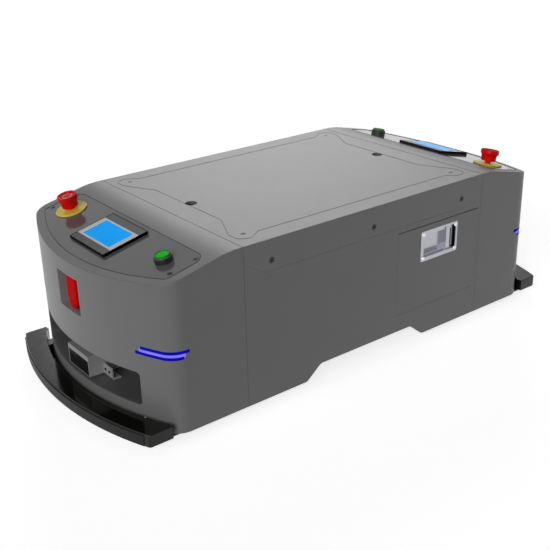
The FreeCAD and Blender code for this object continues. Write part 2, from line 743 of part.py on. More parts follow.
def stop_head(label, turned):
    """Emergency-stop mushroom: waisted stem that flares to a domed head."""
    head = new_body(label)
    foot = "(stop_ring_rise + stop_travel + 0.5)"
    brim = "(stop_head_width/2 - 4)"
    crown = f"({brim}^2 + crown_rise^2)/(2*crown_rise)"
    turn(outline(sketch(head, "XZ"), [
        ("0", "2 - block_depth/2 + stop_travel"), ("stem_width/2", "2 - block_depth/2 + stop_travel"),
        ("stem_width/2", foot), ("stop_head_width*0.37", foot),
        ("stop_head_width*0.33", "stop_head_rise*0.42", "-stop_head_rise"),
        ("stop_head_width/2 - 1", "stop_head_rise*0.72", "-stop_head_rise*0.6"),
        ("stop_head_width/2", "stop_head_rise*0.78", "3"),
        (brim, "stop_head_rise - crown_rise", "8"), ("0", "stop_head_rise", crown)]))
    place(head, *at_end(turned, ON_SLOPE, placed("-control_x", "-control_distance")))
    return head


def start_bezel(label, turned):
    """Start button's raised bezel, barrel, nut and contact block."""
    bezel = new_body(label)
    bore = "(stem_width/2 + running_gap)"
    well = "(start_cap_width/2 + fit_gap)"
    turn(barrel_profile(bezel, bore, [
        ("start_bezel_width/2", "0"), ("start_bezel_width/2", "start_bezel_rise - 1.5"),
        ("start_bezel_width/2 - 1.5", "start_bezel_rise"), (well, "start_bezel_rise"),
        (well, "start_bezel_rise - start_cap_depth - start_travel"),
        (bore, "start_bezel_rise - start_cap_depth - start_travel")]))
    contact_block(bezel)
    place(bezel, *at_end(turned, ON_SLOPE, placed("control_x", "-control_distance")))
    return bezel


def start_cap(label, turned):
    """Start button's domed cap on its plunger."""
    cap = new_body(label)
    foot = "(start_bezel_rise - start_cap_depth + fit_gap)"
    brim = "(start_cap_width/2 - 1.5)"
    turn(outline(sketch(cap, "XZ"), [
        ("0", "2 - block_depth/2 + start_travel"), ("stem_width/2", "2 - block_depth/2 + start_travel"),
        ("stem_width/2", foot), ("start_cap_width/2", foot),
        ("start_cap_width/2", "start_bezel_rise + 0.5"), (brim, "start_bezel_rise + 1.5"),
        ("0", "start_bezel_rise + 1.5 + cap_crown", f"({brim}^2 + cap_crown^2)/(2*cap_crown)")]))
    place(cap, *at_end(turned, ON_SLOPE, placed("control_x", "-control_distance")))
    return cap


# ---------------------------------------------------------------- scanner, isolator

def scanner_bay(label, turned):
    """Open-fronted tray behind the nose slot that the scanner stands in."""
    bay = new_body(label)
    half = "(slot_width/2 + shell_wall)"
    front = "(nose_radius - shell_wall - fit_gap)"
    edge = f"-sqrt({front}^2 - {half}^2)"
    plan = outline(sketch(bay, "XY", "slot_bottom - shell_wall"), [
        (f"-{half}", edge), (half, edge, front), (half, "shell_wall - bay_back"),
        (f"-{half}", "shell_wall - bay_back")])
    pad(plan, "slot_height + 2*shell_wall")
    inside = rounded(sketch(bay, "XZ", "bay_back"), "-slot_width/2", "slot_width/2",
                     "slot_bottom", "slot_bottom + slot_height", "slot_round")
    pocket(inside, "2*bay_depth")
    place(bay, *at_end(turned))
    return bay


def scanner(label, turned):
    """Safety scanner: foot, tapered rear housing and a cap over the window band."""
    body = new_body(label)
    half = "(scanner_width/2)"
    back = "(scanner_front - scanner_depth)"
    floor = "slot_bottom + scanner_foot"
    plan = rounded(sketch(body, "XY", floor), f"-{half}", half, "-scanner_front", f"-{back}", "6")
    pad(plan, "scanner_height")
    top = level(f"{floor} + scanner_height")
    fillet(body, top, "4")
    window_band = outline(sketch(body, "XY", floor), [
        (f"-{half} - 1", "-scanner_front - 1"), (f"{half} + 1", "-scanner_front - 1"),
        (f"{half} + 1", "window_depth - scanner_front"),
        (f"-{half} - 1", "window_depth - scanner_front")])
    pocket(window_band, "window_height")
    foot = rectangle(sketch(body, "XY", "slot_bottom"), f"6 - {half}", f"{half} - 6",
                     "window_depth - scanner_front", f"-{back} - 4")
    pad(foot, "scanner_foot")
    bracket = rectangle(sketch(body, "XY", "slot_bottom"), f"-{half}", f"{half}",
                        f"-{back} - 8", f"4 - {back}")
    pad(bracket, "scanner_foot + scanner_height*0.6")
    place(body, *at_end(turned))
    return body


def scanner_window(label, turned):
    """Dark window band that wraps round the scanner's front."""
    window = new_body(label)
    half = "(scanner_width/2)"
    back = "(window_depth - scanner_front - fit_gap/2)"
    plan = outline(sketch(window, "XY", "slot_bottom + scanner_foot"), [
        (f"-{half}", "8 - scanner_front"), (f"8 - {half}", "-scanner_front", "8"),
        (f"{half} - 8", "-scanner_front"), (half, "8 - scanner_front", "8"),
        (half, back), (f"-{half}", back)])
    pad(plan, "window_height - fit_gap/2")
    place(window, *at_end(turned))
    return window


def isolator_recess(label):
    """Red tub behind the nose opening; its front rim lies behind the casing wall."""
    tub = new_body(label)
    half, rim = "(recess_width/2)", "(recess_width/2 + recess_rim)"
    low, high = "recess_bottom", "(recess_bottom + recess_height)"
    inner = "(nose_radius - shell_wall - fit_gap)"
    plan = outline(sketch(tub, "XY", low), [
        (f"-{half}", f"-sqrt(nose_radius^2 - {half}^2)"),
        (half, f"-sqrt(nose_radius^2 - {half}^2)", "nose_radius"),
        (half, "-recess_back"), (f"-{half}", "-recess_back")])
    pad(plan, "recess_height")
    flange = outline(sketch(tub, "XY", f"{low} - recess_rim"), [
        (f"-{rim}", f"-sqrt({inner}^2 - {rim}^2)"), (rim, f"-sqrt({inner}^2 - {rim}^2)", inner),
        (rim, f"recess_wall - sqrt({inner}^2 - {rim}^2)"),
        (f"-{rim}", f"recess_wall - sqrt({inner}^2 - {rim}^2)", f"-{inner}")])
    pad(flange, "recess_height + 2*recess_rim")
    inside = rectangle(sketch(tub, "XZ", "recess_back + recess_wall"),
                       f"recess_wall - {half}", f"{half} - recess_wall",
                       f"{low} + recess_wall", f"{high} - recess_wall")
    pocket(inside, "2*recess_depth")
    gearcase = circle(sketch(tub, "XZ", "recess_back"), "0", ISOLATOR_Z, "spindle_width*3")
    pad(gearcase, "spindle_width*2", reverse=True)
    pocket(circle(sketch(tub, "XZ", "recess_back + recess_wall"), "0", ISOLATOR_Z,
                  "spindle_width + 2*running_gap"), "recess_wall + spindle_width", reverse=True)
    return tub


def isolator_knob(label):
    """Rotary handle with full-round ends on its spindle."""
    knob = new_body(label)
    half = "(knob_width/2)"
    reach = "(knob_height/2 - knob_width/2)"
    foot = "(recess_back + recess_wall + 1)"
    plan = outline(sketch(knob, "XZ", foot), [
        (half, f"{ISOLATOR_Z} + {reach}"), ("0", f"{ISOLATOR_Z} + knob_height/2", half),
        (f"-{half}", f"{ISOLATOR_Z} + {reach}", half), (f"-{half}", f"{ISOLATOR_Z} - {reach}"),
        ("0", f"{ISOLATOR_Z} - knob_height/2", half), (half, f"{ISOLATOR_Z} - {reach}", half)])
    pad(plan, f"nose_radius - knob_setback - {foot}")
    front = -value("nose_radius - knob_setback")
    fillet(knob, lambda b: near(b.YMin, front) and near(b.YMax, front), "3")
    spindle = circle(sketch(knob, "XZ", "recess_back - spindle_width + 2"), "0", ISOLATOR_Z,
                     "spindle_width")
    pad(spindle, f"{foot} - recess_back + spindle_width - 1")
    return knob


# ---------------------------------------------------------------- bumpers

def bumper(label, turned):
    """Bowed bumper bar struck from the machine centre, with two guide arms."""
    bar = new_body(label)
    edge_in = "sqrt(bumper_inner^2 - half_width^2)"
    edge_out = "sqrt(bumper_outer^2 - half_width^2)"
    plan = outline(sketch(bar, "XY", "skirt_height"), [
        ("-half_width", f"-{edge_out}"), ("half_width", f"-{edge_out}", "bumper_outer"),
        ("half_width", f"-{edge_in}"), ("-half_width", f"-{edge_in}", "-bumper_inner")])
    pad(plan, "bumper_height")
    rim = -value("bumper_outer")
    fillet(bar, lambda b: near(b.YMin, rim) and b.ZLength < 0.02, "bumper_round")
    for side in ("", "-"):
        arm = rectangle(sketch(bar, "XY", "arm_bottom"),
                        *span(side, "arm_x - arm_width/2", "arm_x + arm_width/2"),
                        f"-sqrt(bumper_inner^2 - {ARM_INNER}^2) - 4", "-bay_back")
        pad(arm, "arm_height")
    place(bar, *at_end(turned))
    return bar


def bumper_guides(label):
    """Four slotted blocks under the chassis ends that the bumper arms slide in."""
    guide = template("bumper_guide")
    block = rectangle(sketch(guide, "XZ", "base_end"), "arm_x - guide_width/2",
                      "arm_x + guide_width/2", "skirt_height", "skirt_height + guide_height")
    pad(block, "guide_length")
    slot = rectangle(sketch(guide, "XZ", "base_end"),
                     "arm_x - arm_width/2 - fit_gap", "arm_x + arm_width/2 + fit_gap",
                     "arm_bottom - fit_gap", "arm_bottom + arm_height + fit_gap")
    pocket(slot, "guide_length")
    other_side = placed(x="-2*arm_x")
    return group(label, guide, [[placed()], [other_side], [HALF_TURN], [HALF_TURN, other_side]])


# ---------------------------------------------------------------- chassis

def well_plan(item):
    """Opening of the base plate for the wheels and, diagonally, for the two motors."""
    half_x, half_y, reach = "well_half_width", "well_half_length", "bay_reach"
    half = [(f"-{half_x}", f"-{half_y}"), ("bay_inner", f"-{half_y}"),
            ("bay_inner", f"-{reach}"), ("bay_outer", f"-{reach}"), ("bay_outer", f"-{half_y}"),
            (half_x, f"-{half_y}")]
    other = [(f"-({x})", y[1:]) for x, y in half]
    return outline(item, half + other)


def chassis_frame(label):
    """Folded base plate with end flanges, side rails, four posts, an upper ring and two
    cross-beams that hold the tow-pin lifts."""
    frame = new_body(label)
    pad(rectangle(sketch(frame, "XY", "base_bottom"), "rail_width - inner_half",
                  "inner_half - rail_width", "-base_end", "base_end"), "base_thickness")
    for side in ("", "-"):
        pad(rectangle(sketch(frame, "XY", "base_bottom - rail_drop"),
                      *span(side, "inner_half - rail_width", "inner_half"),
                      "-base_end", "base_end"), "rail_drop + base_thickness")
        pad(rectangle(sketch(frame, "XY", "base_bottom - end_flange_drop"),
                      "rail_width - inner_half", "inner_half - rail_width",
                      *span(side, "base_end - end_flange_wall", "base_end")),
            "end_flange_drop")
    pocket(well_plan(sketch(frame, "XY", "base_bottom")), "base_thickness")
    outer, inner = "inner_half", "inner_half - post_width"
    reach = "post_y + post_width/2"
    for side in ("", "-"):
        for end in ("", "-"):
            pad(rectangle(sketch(frame, "XY", "base_top"), *span(side, inner, outer),
                          *span(end, "post_y - post_width/2", reach)),
                "side_beam_bottom - base_top")
        pad(rectangle(sketch(frame, "XY", "side_beam_bottom"), *span(side, inner, outer),
                      f"-({reach})", reach), "side_beam_depth")
    for end in ("", "-"):
        pad(rectangle(sketch(frame, "XY", "ring_bottom"), f"-({inner})", inner,
                      *span(end, "post_y - post_width/2", reach)), "ring_depth")
        pad(rectangle(sketch(frame, "XY", "ring_bottom"), f"-({inner})", inner,
                      *span(end, "beam_y - post_width/2 - 6", "beam_y + post_width/2 + 6")),
            "ring_depth")
        pocket(circle(sketch(frame, "XY", "ring_bottom"), "0", f"{end}beam_y",
                      "tow_pin_hole + 2"), "ring_depth")
    for y in SIDE_SCREWS:
        pocket(circle(sketch(frame, "YZ"), y, SIDE_SCREW_Z, "screw_shank"), "body_width",
               symmetric=True)
    return frame


# ---------------------------------------------------------------- casters

def caster_plates(label):
    """Top plates of the casters, each with the collar that its fork turns in."""
    plate = template("caster_plate_single")
    turn(outline(sketch(plate, "XZ"), [
        ("caster_pin/2 + running_gap", "-caster_plate_thickness - caster_collar_depth"),
        ("caster_collar/2", "-caster_plate_thickness - caster_collar_depth"),
        ("caster_collar/2 + 4", "-caster_plate_thickness"),
        ("caster_pin/2 + running_gap", "-caster_plate_thickness")]))
    half = "(caster_plate/2)"
    plan = rounded(sketch(plate, "XY"), f"-{half}", half, f"-{half}", half, "6")
    pad(plan, "caster_plate_thickness", reverse=True)
    pocket(circle(sketch(plate, "XY"), "0", "0", "caster_pin + 2*running_gap"),
           "caster_plate_thickness", reverse=True)
    return group(label, plate, [[placed(x, y, "base_bottom")] for _, x, y in CASTERS])


def caster_fork(label, x, y):
    """Fork: head disc with its pin, two legs swept back to the axle."""
    fork = new_body(label)
    leg_in = "(caster_tread/2 + fork_gap)"
    leg_out = "(caster_tread/2 + fork_gap + fork_wall)"
    turn(outline(sketch(fork, "XZ"), [
        ("0", "fork_top - 6"), ("caster_collar/2 - 2", "fork_top - 6"),
        ("caster_collar/2 - 2", "fork_top"), ("caster_pin/2", "fork_top"),
        ("caster_pin/2", "base_bottom - fit_gap"), ("0", "base_bottom - fit_gap")]))
    axle_y = "(0 - caster_trail)"
    eye = "9"
    for side in ("", "-"):
        leg = outline(sketch(fork, "YZ", leg_in if not side else f"-{leg_out}"), [
            (f"{axle_y} - {eye}", "caster_wheel/2"),
            (axle_y, f"caster_wheel/2 - {eye}", eye),
            (f"{axle_y} + {eye}", "caster_wheel/2", eye),
            ("caster_collar/2 - 6", "fork_top - 6"), ("4 - caster_collar/2", "fork_top - 6")])
        pad(leg, "fork_wall")
    crown = rectangle(sketch(fork, "XY", "fork_top - 6"), f"-{leg_out}", leg_out,
                      "4 - caster_collar/2", "caster_collar/2 - 6")
    pad(crown, "6")
    axle = circle(sketch(fork, "YZ", f"-{leg_out} - 2"), axle_y, "caster_wheel/2", "axle_width")
    pad(axle, f"2*{leg_out} + 4")
    place(fork, placed(x, y))
    return fork


def caster_wheel(label, x, y):
    """Wheel with a waisted web and rounded tread, turning on the fork's axle."""
    wheel = new_body(label)
    half, radius = "(caster_tread/2)", "(caster_wheel/2)"
    bore = "(axle_width/2 + running_gap)"
    turn(outline(sketch(wheel, "XY"), [
        (f"-{half}", bore), (half, bore), (half, f"{bore} + 5"), (f"{half} - 4", f"{bore} + 8"),
        (f"{half} - 4", f"{radius} - 7"), (half, f"{radius} - 5"), (half, f"{radius} - 3"),
        (f"{half} - 3", radius, "3"), (f"3 - {half}", radius), (f"-{half}", f"{radius} - 3", "3"),
        (f"-{half}", f"{radius} - 5"), (f"4 - {half}", f"{radius} - 7"),
        (f"4 - {half}", f"{bore} + 8"), (f"-{half}", f"{bore} + 5")]), "H_Axis")
    place(wheel, placed(x, f"{y} - caster_trail", "caster_wheel/2"))
    return wheel


# ---------------------------------------------------------------- drive module

def drive_cradle(label):
    """Carrier plate between the wheels with a guide bush on a tongue at each end."""
    cradle = new_body(label)
    half_x, half_y, tongue = "cradle_width/2", "cradle_length/2", "(bush_width/2 + 3)"
    plan = outline(sketch(cradle, "XY", "cradle_bottom"), [
        (f"-({half_x})", f"-({half_y})"), (f"-{tongue}", f"-({half_y})"),
        (f"-{tongue}", "-post_spread"), (tongue, "-post_spread"),
        (tongue, f"-({half_y})"), (half_x, f"-({half_y})"),
        (half_x, half_y), (tongue, half_y), (tongue, "post_spread"),
        (f"-{tongue}", "post_spread"), (f"-{tongue}", half_y),
        (f"-({half_x})", half_y)])
    pad(plan, "cradle_thickness")
    for end in ("", "-"):
        pad(circle(sketch(cradle, "XY", "cradle_bottom"), "0", f"{end}post_spread",
                   f"2*{tongue}"), "cradle_thickness")
        pad(circle(sketch(cradle, "XY", "bush_bottom"), "0", f"{end}post_spread", "bush_width"),
            "bush_height")
        pocket(circle(sketch(cradle, "XY", "bush_bottom"), "0", f"{end}post_spread",
                      "guide_post_width + 2*running_gap"), "bush_height")
    return cradle


def guide_posts(label):
    """Posts that the cradle slides on, with a foot and a top collar for the spring."""
    post = template("guide_post_single")
    half = "guide_post_width/2"
    turn(outline(sketch(post, "XZ"), [
        ("0", "base_top"), ("bush_width/2", "base_top"), ("bush_width/2", "base_top + 4"),
        (half, "base_top + 4"), (half, "guide_post_top - collar_height"),
        ("bush_width/2", "guide_post_top - collar_height"), ("bush_width/2", "guide_post_top"),
        ("0", "guide_post_top")]))
    return group(label, post, [[placed(y="post_spread")], [placed(y="-post_spread")]])


def suspension_springs(label):
    """Coil springs between the cradle's bushes and the posts' collars."""
    spring = template("suspension_spring_single")
    section = circle(sketch(spring, "XZ"), "spring_width/2 - spring_wire/2",
                     "bush_top + fit_gap + spring_wire/2", "spring_wire")
    coil = spring.newObject("PartDesign::AdditiveHelix", "Coil")
    coil.Profile = section
    coil.ReferenceAxis = (section, ["V_Axis"])
    coil.Mode = "height-turns-angle"
    coil.setExpression("Height", sized("guide_post_top - collar_height - bush_top - spring_wire"
                                       " - 2*fit_gap"))
    coil.setExpression("Turns", sized("spring_turns"))
    doc.recompute()
    return group(label, spring, [[placed(y="post_spread")], [placed(y="-post_spread")]])


def gearmotor(label, turned):
    """Right-angle gearmotor: gearbox, output shaft, motor and encoder."""
    motor = new_body(label)
    half = "(gearbox_width/2)"
    box = rectangle(sketch(motor, "XY", f"axle_height - {half}"), "gearbox_inner", "gearbox_end",
                    f"-{half}", half)
    pad(box, "gearbox_width")
    chamfer(motor, lambda b: b.ZLength < 0.02 and near(b.ZMin, value(f"axle_height - {half}")),
            "3")
    centre_x = "gearbox_inner + gearbox_length/2"
    pad(circle(sketch(motor, "XZ", half), centre_x, "axle_height", "motor_width"),
        "motor_length")
    pad(circle(sketch(motor, "XZ", f"{half} + motor_length"), centre_x, "axle_height",
               "encoder_width"), "encoder_length")
    pad(circle(sketch(motor, "YZ", "gearbox_end"), "0", "axle_height", "drive_shaft"),
        "wheel_inner + drive_tread - gearbox_end - 3")
    place(motor, *at_end(turned))
    return motor


def drive_wheel(label, side):
    """Drive wheel: hub, web with six openings, rim and a grooved tread."""
    wheel = new_body(label)
    half, radius = "(drive_tread/2)", "(drive_wheel/2)"
    bore, hub = "(drive_shaft/2 + running_gap)", "(drive_hub/2)"
    turn(outline(sketch(wheel, "XY"), [
        (f"-{half}", bore), (half, bore), (half, hub), ("6", hub), ("6", f"{radius} - 16"),
        (half, f"{radius} - 16"), (half, f"{radius} - 3"), (f"{half} - 3", radius, "3"),
        (f"3 - {half}", radius), (f"-{half}", f"{radius} - 3", "3"),
        (f"-{half}", f"{radius} - 16"), ("-6", f"{radius} - 16"), ("-6", hub),
        (f"-{half}", hub)]), "H_Axis")
    opening = pocket(circle(sketch(wheel, "YZ", "-6"), f"({hub} + {radius} - 16)/2", "0", "20"),
                     "12")
    pattern(wheel, [opening], "PolarPattern", Axis=axis_of(wheel, "X_Axis"), Occurrences=6)
    place(wheel, placed(f"{side}drive_track/2", "0", "axle_height"))
    return wheel


# ---------------------------------------------------------------- battery drawer

def battery_drawer(label):
    """Sheet tray with a thick front panel that has the cut-out for the recessed pull."""
    drawer = new_body(label)
    pad(rectangle(sketch(drawer, "XY", "tray_bottom"), "tray_inner", "door_inner",
                  "tray_front", "tray_rear"), "tray_height")
    pocket(rectangle(sketch(drawer, "XY", "tray_floor"), "tray_inner + tray_wall",
                     "door_inner - tray_wall", "tray_front + tray_wall",
                     "tray_rear - tray_wall"), "tray_height")
    pad(rectangle(sketch(drawer, "YZ", "door_inner"), "door_front + door_gap",
                  "door_rear - door_gap", "door_bottom", "door_top - door_gap"),
        "half_width - door_inner")
    cut = rounded(sketch(drawer, "YZ", "door_inner - tray_wall"),
                  "handle_centre_y - handle_width/2 - fit_gap",
                  "handle_centre_y + handle_width/2 + fit_gap",
                  "handle_centre_z - handle_height/2 - fit_gap",
                  "handle_centre_z + handle_height/2 + fit_gap", "4")
    pocket(cut, "half_width - door_inner + tray_wall")
    return drawer


def battery_pack(label):
    """Battery block with rounded edges, ribbed sides and a terminal box."""
    pack = new_body(label)
    m = "(tray_wall + battery_margin)"
    plan = rectangle(sketch(pack, "XY", "tray_floor"), f"tray_inner + {m}",
                     "half_width - handle_depth - handle_rim - 8", f"tray_front + {m}",
                     f"tray_rear - {m}")
    pad(plan, "battery_height")
    fillet(pack, upright, "battery_round")
    top = level("tray_floor + battery_height")
    fillet(pack, top, "2")
    terminals = rectangle(sketch(pack, "XY", "tray_floor + battery_height"),
                          "tray_inner + 25", "tray_inner + 70", "tray_front + 30",
                          "tray_front + 90")
    pad(terminals, "14")
    return pack


def drawer_handle(label):
    """Recessed pull: rim plate, stepped cup and an upright grip bar."""
    pull = new_body(label)

    def box(offset, inset):
        return rounded(sketch(pull, "YZ", offset),
                       f"handle_centre_y - handle_width/2 + {inset}",
                       f"handle_centre_y + handle_width/2 - {inset}",
                       f"handle_centre_z - handle_height/2 + {inset}",
                       f"handle_centre_z + handle_height/2 - {inset}", "3.5")
    pad(box("half_width - handle_rim", "0"), "handle_rim")
    pad(box("half_width - handle_depth - handle_rim", "handle_step"), "handle_depth")
    pocket(box("half_width", "handle_step + handle_rim"), "handle_depth*0.4", reverse=True)
    pocket(box("half_width", "2*handle_step"), "handle_depth", reverse=True)
    bar = "(handle_centre_y + handle_width/2 - 3*handle_step)"
    grip = rectangle(sketch(pull, "YZ", "half_width - handle_depth - handle_rim"),
                     f"{bar} - handle_bar", bar, "handle_centre_z - handle_height/2 + handle_step",
                     "handle_centre_z + handle_height/2 - handle_step")
    pad(grip, "handle_depth - 2")
    return pull


def drawer_runners(label):
    """Two low rails on the base plate that the tray slides on, each with an outer lip."""
    runner = template("drawer_runner_single")
    lip = "(0 - fit_gap)"
    low, seat, high = "base_top", "base_top + runner_height", "base_top + 3*runner_height"
    rail = outline(sketch(runner, "YZ"), [
        (f"{lip} - 3", low), ("runner_width", low), ("runner_width", seat), (lip, seat),
        (lip, high), (f"{lip} - 3", high)])
    pad(rail, "inner_half - tray_inner - 8", symmetric=True)
    middle = "(inner_half + tray_inner + 4)/2"
    return group(label, runner, [[placed(middle, "tray_front")],
                                 [placed(middle, "tray_rear"), HALF_TURN]])


# ---------------------------------------------------------------- controller, floor sensors

def controller_box(label):
    """Drive controller: case with a row of cooling fins along its lid."""
    box = new_body(label)
    pad(rectangle(sketch(box, "XY", "base_top"), "-controller_outer", "-controller_inner",
                  "controller_front", "controller_rear"), "controller_height")
    fillet(box, upright, "4")
    fin = pad(rectangle(sketch(box, "XY", "base_top + controller_height"),
                        "8 - controller_outer", "-controller_inner - 8",
                        "controller_front + 8", "controller_front + 8 + fin_width"),
              "fin_height")
    pattern(box, [fin], "LinearPattern", Direction=axis_of(box, "Y_Axis"),
            Length=value("fin_pitch*(fin_count - 1)"), Occurrences=int(value("fin_count")))
    return box


def guide_sensors(label):
    """Floor guide sensors, one under each end, hung from the base plate on two legs."""
    bar = template("guide_sensor_single")
    half = "(sensor_width/2)"
    low, high = "sensor_bottom", "sensor_bottom + sensor_height"
    plan = outline(sketch(bar, "XZ"), [
        (f"-{half}", f"{low} + 5"), (f"5 - {half}", low), (f"{half} - 5", low),
        (half, f"{low} + 5"), (half, high), (f"{half} - 10", high), (f"{half} - 10", "base_bottom"),
        (f"{half} - 30", "base_bottom"), (f"{half} - 30", high), (f"30 - {half}", high),
        (f"30 - {half}", "base_bottom"), (f"10 - {half}", "base_bottom"), (f"10 - {half}", high),
        (f"-{half}", high)])
    pad(plan, "sensor_depth", symmetric=True)
    return group(label, bar, [[placed(y="-caster_y")], [placed(y="caster_y")]])


# ---------------------------------------------------------------- tow pins

def pin_lifts(label):
    """Lift housings under the cross-beams: flange, sleeve that guides the pin, drive below."""
    lift = template("pin_lift_single")
    bore = "(tow_pin_width/2 + running_gap)"
    turn(outline(sketch(lift, "XZ"), [
        ("0", "tow_pin_bottom - lift_motor_height"),
        ("lift_motor_width/2", "tow_pin_bottom - lift_motor_height"),
        ("lift_motor_width/2", "tow_pin_bottom - 6"), ("lift_width/2", "tow_pin_bottom - 6"),
        ("lift_width/2", "ring_bottom - lift_flange_depth"),
        ("lift_flange/2", "ring_bottom - lift_flange_depth"), ("lift_flange/2", "ring_bottom"),
        (bore, "ring_bottom"), (bore, "tow_pin_bottom - fit_gap"),
        ("0", "tow_pin_bottom - fit_gap")]))
    return group(label, lift, [[placed(y="beam_y")], [placed(y="-beam_y")]])


def tow_pin(label, end):
    """Lifting pin with a chamfered tip."""
    tow = new_body(label)
    radius = "tow_pin_width/2"
    turn(outline(sketch(tow, "XZ"), [
        ("0", "tow_pin_bottom"), (radius, "tow_pin_bottom"), (radius, "tow_pin_top - 4"),
        (f"{radius} - 4", "tow_pin_top"), ("0", "tow_pin_top")]))
    place(tow, placed(y=f"{end}beam_y"))
    return tow


# ---------------------------------------------------------------- assembly

DECK_SCREWS = [(f"{x}deck_screw_x", f"{y}deck_screw_y") for x in ("", "-") for y in ("", "-")]
SIDE_SCREWS = ["-side_screw_y", "0", "side_screw_y"]
SIDE_SCREW_Z = "deck_height - side_screw_drop"
PANEL_SCREWS = [(f"{x}panel_screw_x", y) for x in ("", "-")
                for y in ("panel_screw_back", "panel_screw_front")]
CASTERS = [("front_left", "-caster_x", "-caster_y"), ("front_right", "caster_x", "-caster_y"),
           ("rear_left", "-caster_x", "caster_y"), ("rear_right", "caster_x", "caster_y")]
ISOLATOR_Z = "(recess_bottom + recess_height/2)"
ARM_INNER = "(arm_x - arm_width/2)"
ENDS = [("front", False), ("rear", True)]


def build():
    """Make every sub-part."""
    chassis_frame("chassis_frame")
    deck_cover("deck_cover")
    deck_plate("deck_plate")
    side_panel("right_side_panel", turned=False, drawer=True)
    side_panel("left_side_panel", turned=True, drawer=False)
    for end, turned in ENDS:
        nose_shell(f"{end}_shell", turned, isolator=not turned)
        scanner_bay(f"{end}_scanner_bay", turned)
        scanner(f"{end}_scanner", turned)
        scanner_window(f"{end}_scanner_window", turned)
        control_panel(f"{end}_control_panel", turned)
        display(f"{end}_display", turned)
        display_screen(f"{end}_display_screen", turned)
        stop_ring(f"{end}_stop_ring", turned)
        stop_head(f"{end}_stop_head", turned)
        start_bezel(f"{end}_start_bezel", turned)
        start_cap(f"{end}_start_cap", turned)
        bumper(f"{end}_bumper", turned)
    isolator_recess("isolator_recess")
    isolator_knob("isolator_knob")
    corner_lamps("corner_lamps")
    casing_screws("casing_screws")
    side_screws("side_screws")
    bumper_guides("bumper_guides")
    caster_plates("caster_plates")
    for place_name, x, y in CASTERS:
        caster_fork(f"{place_name}_caster_fork", x, y)
        caster_wheel(f"{place_name}_caster_wheel", x, y)
    drive_cradle("drive_cradle")
    guide_posts("guide_posts")
    suspension_springs("suspension_springs")
    gearmotor("right_gearmotor", turned=False)
    gearmotor("left_gearmotor", turned=True)
    drive_wheel("right_drive_wheel", "")
    drive_wheel("left_drive_wheel", "-")
    battery_drawer("battery_drawer")
    battery_pack("battery_pack")
    drawer_handle("drawer_handle")
    drawer_runners("drawer_runners")
    controller_box("controller_box")
    guide_sensors("guide_sensors")
    pin_lifts("pin_lifts")
    tow_pin("front_tow_pin", "-")
    tow_pin("rear_tow_pin", "")


def export():
    """Check every object and every sub-part's solid, then write one file per sub-part."""
    doc.recompute()
    for item in doc.Objects:
        if "Invalid" in item.State or "Error" in item.State:
            raise RuntimeError(f"{item.Label} failed: {item.State}")
    for node in nodes:
        shape = node.Shape
        if shape.isNull() or not shape.isValid() or not shape.Solids:
            raise RuntimeError(f"{node.Label} has no valid solid")
    os.makedirs("parts", exist_ok=True)
    for node in nodes:
        node.Shape.exportStep(f"parts/{node.Label}.step")
    print(len(nodes), "sub-parts written")


build()
export()
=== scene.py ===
"""Looks of a low two-ended towing robot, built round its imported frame.

Each sub-assembly is a class: it dresses the frame's nodes in their finishes and adds the small
pieces that the frame leaves out, such as seals, fasteners, lamp tubes and button marks.
"""

import json
import logging
import math
from dataclasses import dataclass
from enum import Enum
from typing import Iterable, Sequence

import bmesh
import bpy
from mathutils import Matrix, Vector

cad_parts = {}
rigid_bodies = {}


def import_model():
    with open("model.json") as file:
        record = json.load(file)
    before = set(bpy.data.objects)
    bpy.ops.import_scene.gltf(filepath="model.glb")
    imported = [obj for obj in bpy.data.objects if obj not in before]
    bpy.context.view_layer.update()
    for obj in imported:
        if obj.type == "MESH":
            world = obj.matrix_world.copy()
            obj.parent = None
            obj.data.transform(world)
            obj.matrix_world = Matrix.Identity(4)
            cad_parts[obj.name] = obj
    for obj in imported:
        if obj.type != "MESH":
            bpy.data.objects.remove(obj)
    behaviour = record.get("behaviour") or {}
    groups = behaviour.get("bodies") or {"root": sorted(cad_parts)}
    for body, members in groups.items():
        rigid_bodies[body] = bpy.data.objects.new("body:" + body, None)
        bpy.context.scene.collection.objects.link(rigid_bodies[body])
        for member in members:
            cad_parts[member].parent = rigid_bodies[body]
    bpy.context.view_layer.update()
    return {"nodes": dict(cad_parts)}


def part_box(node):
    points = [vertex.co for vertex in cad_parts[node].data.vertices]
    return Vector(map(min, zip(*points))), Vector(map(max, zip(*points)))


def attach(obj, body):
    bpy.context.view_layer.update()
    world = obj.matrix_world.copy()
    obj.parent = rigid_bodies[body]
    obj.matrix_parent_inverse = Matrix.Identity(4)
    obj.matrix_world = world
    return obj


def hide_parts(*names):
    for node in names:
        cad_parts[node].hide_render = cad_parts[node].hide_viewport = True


LOG = logging.getLogger("robot")
MM = 0.001
SHARP = math.radians(20)
WELD = 1e-6
MIX_FIRST, MIX_SECOND, MIX_RESULT = 6, 7, 2  # a Mix node's colour sockets

Colour = tuple[float, float, float]
Point = tuple[float, float, float]
Box = tuple[Point, Point]
Profile = tuple[tuple[float, float], ...]


# ---------------------------------------------------------------- materials

MADE: dict[str, bpy.types.Material] = {}


class Grain(Enum):
    """How a surface is broken up: (scale of its noise per metre, stretch along X, Y, Z)."""

    PEEL = (900.0, (1.0, 1.0, 1.0))
    MOULDED = (2600.0, (1.0, 1.0, 1.0))
    BRUSHED = (700.0, (0.04, 1.0, 1.0))
    CAST = (420.0, (1.0, 1.0, 1.0))
    POLISHED = (240.0, (1.0, 1.0, 1.0))
    RUBBER = (1500.0, (1.0, 1.0, 1.0))


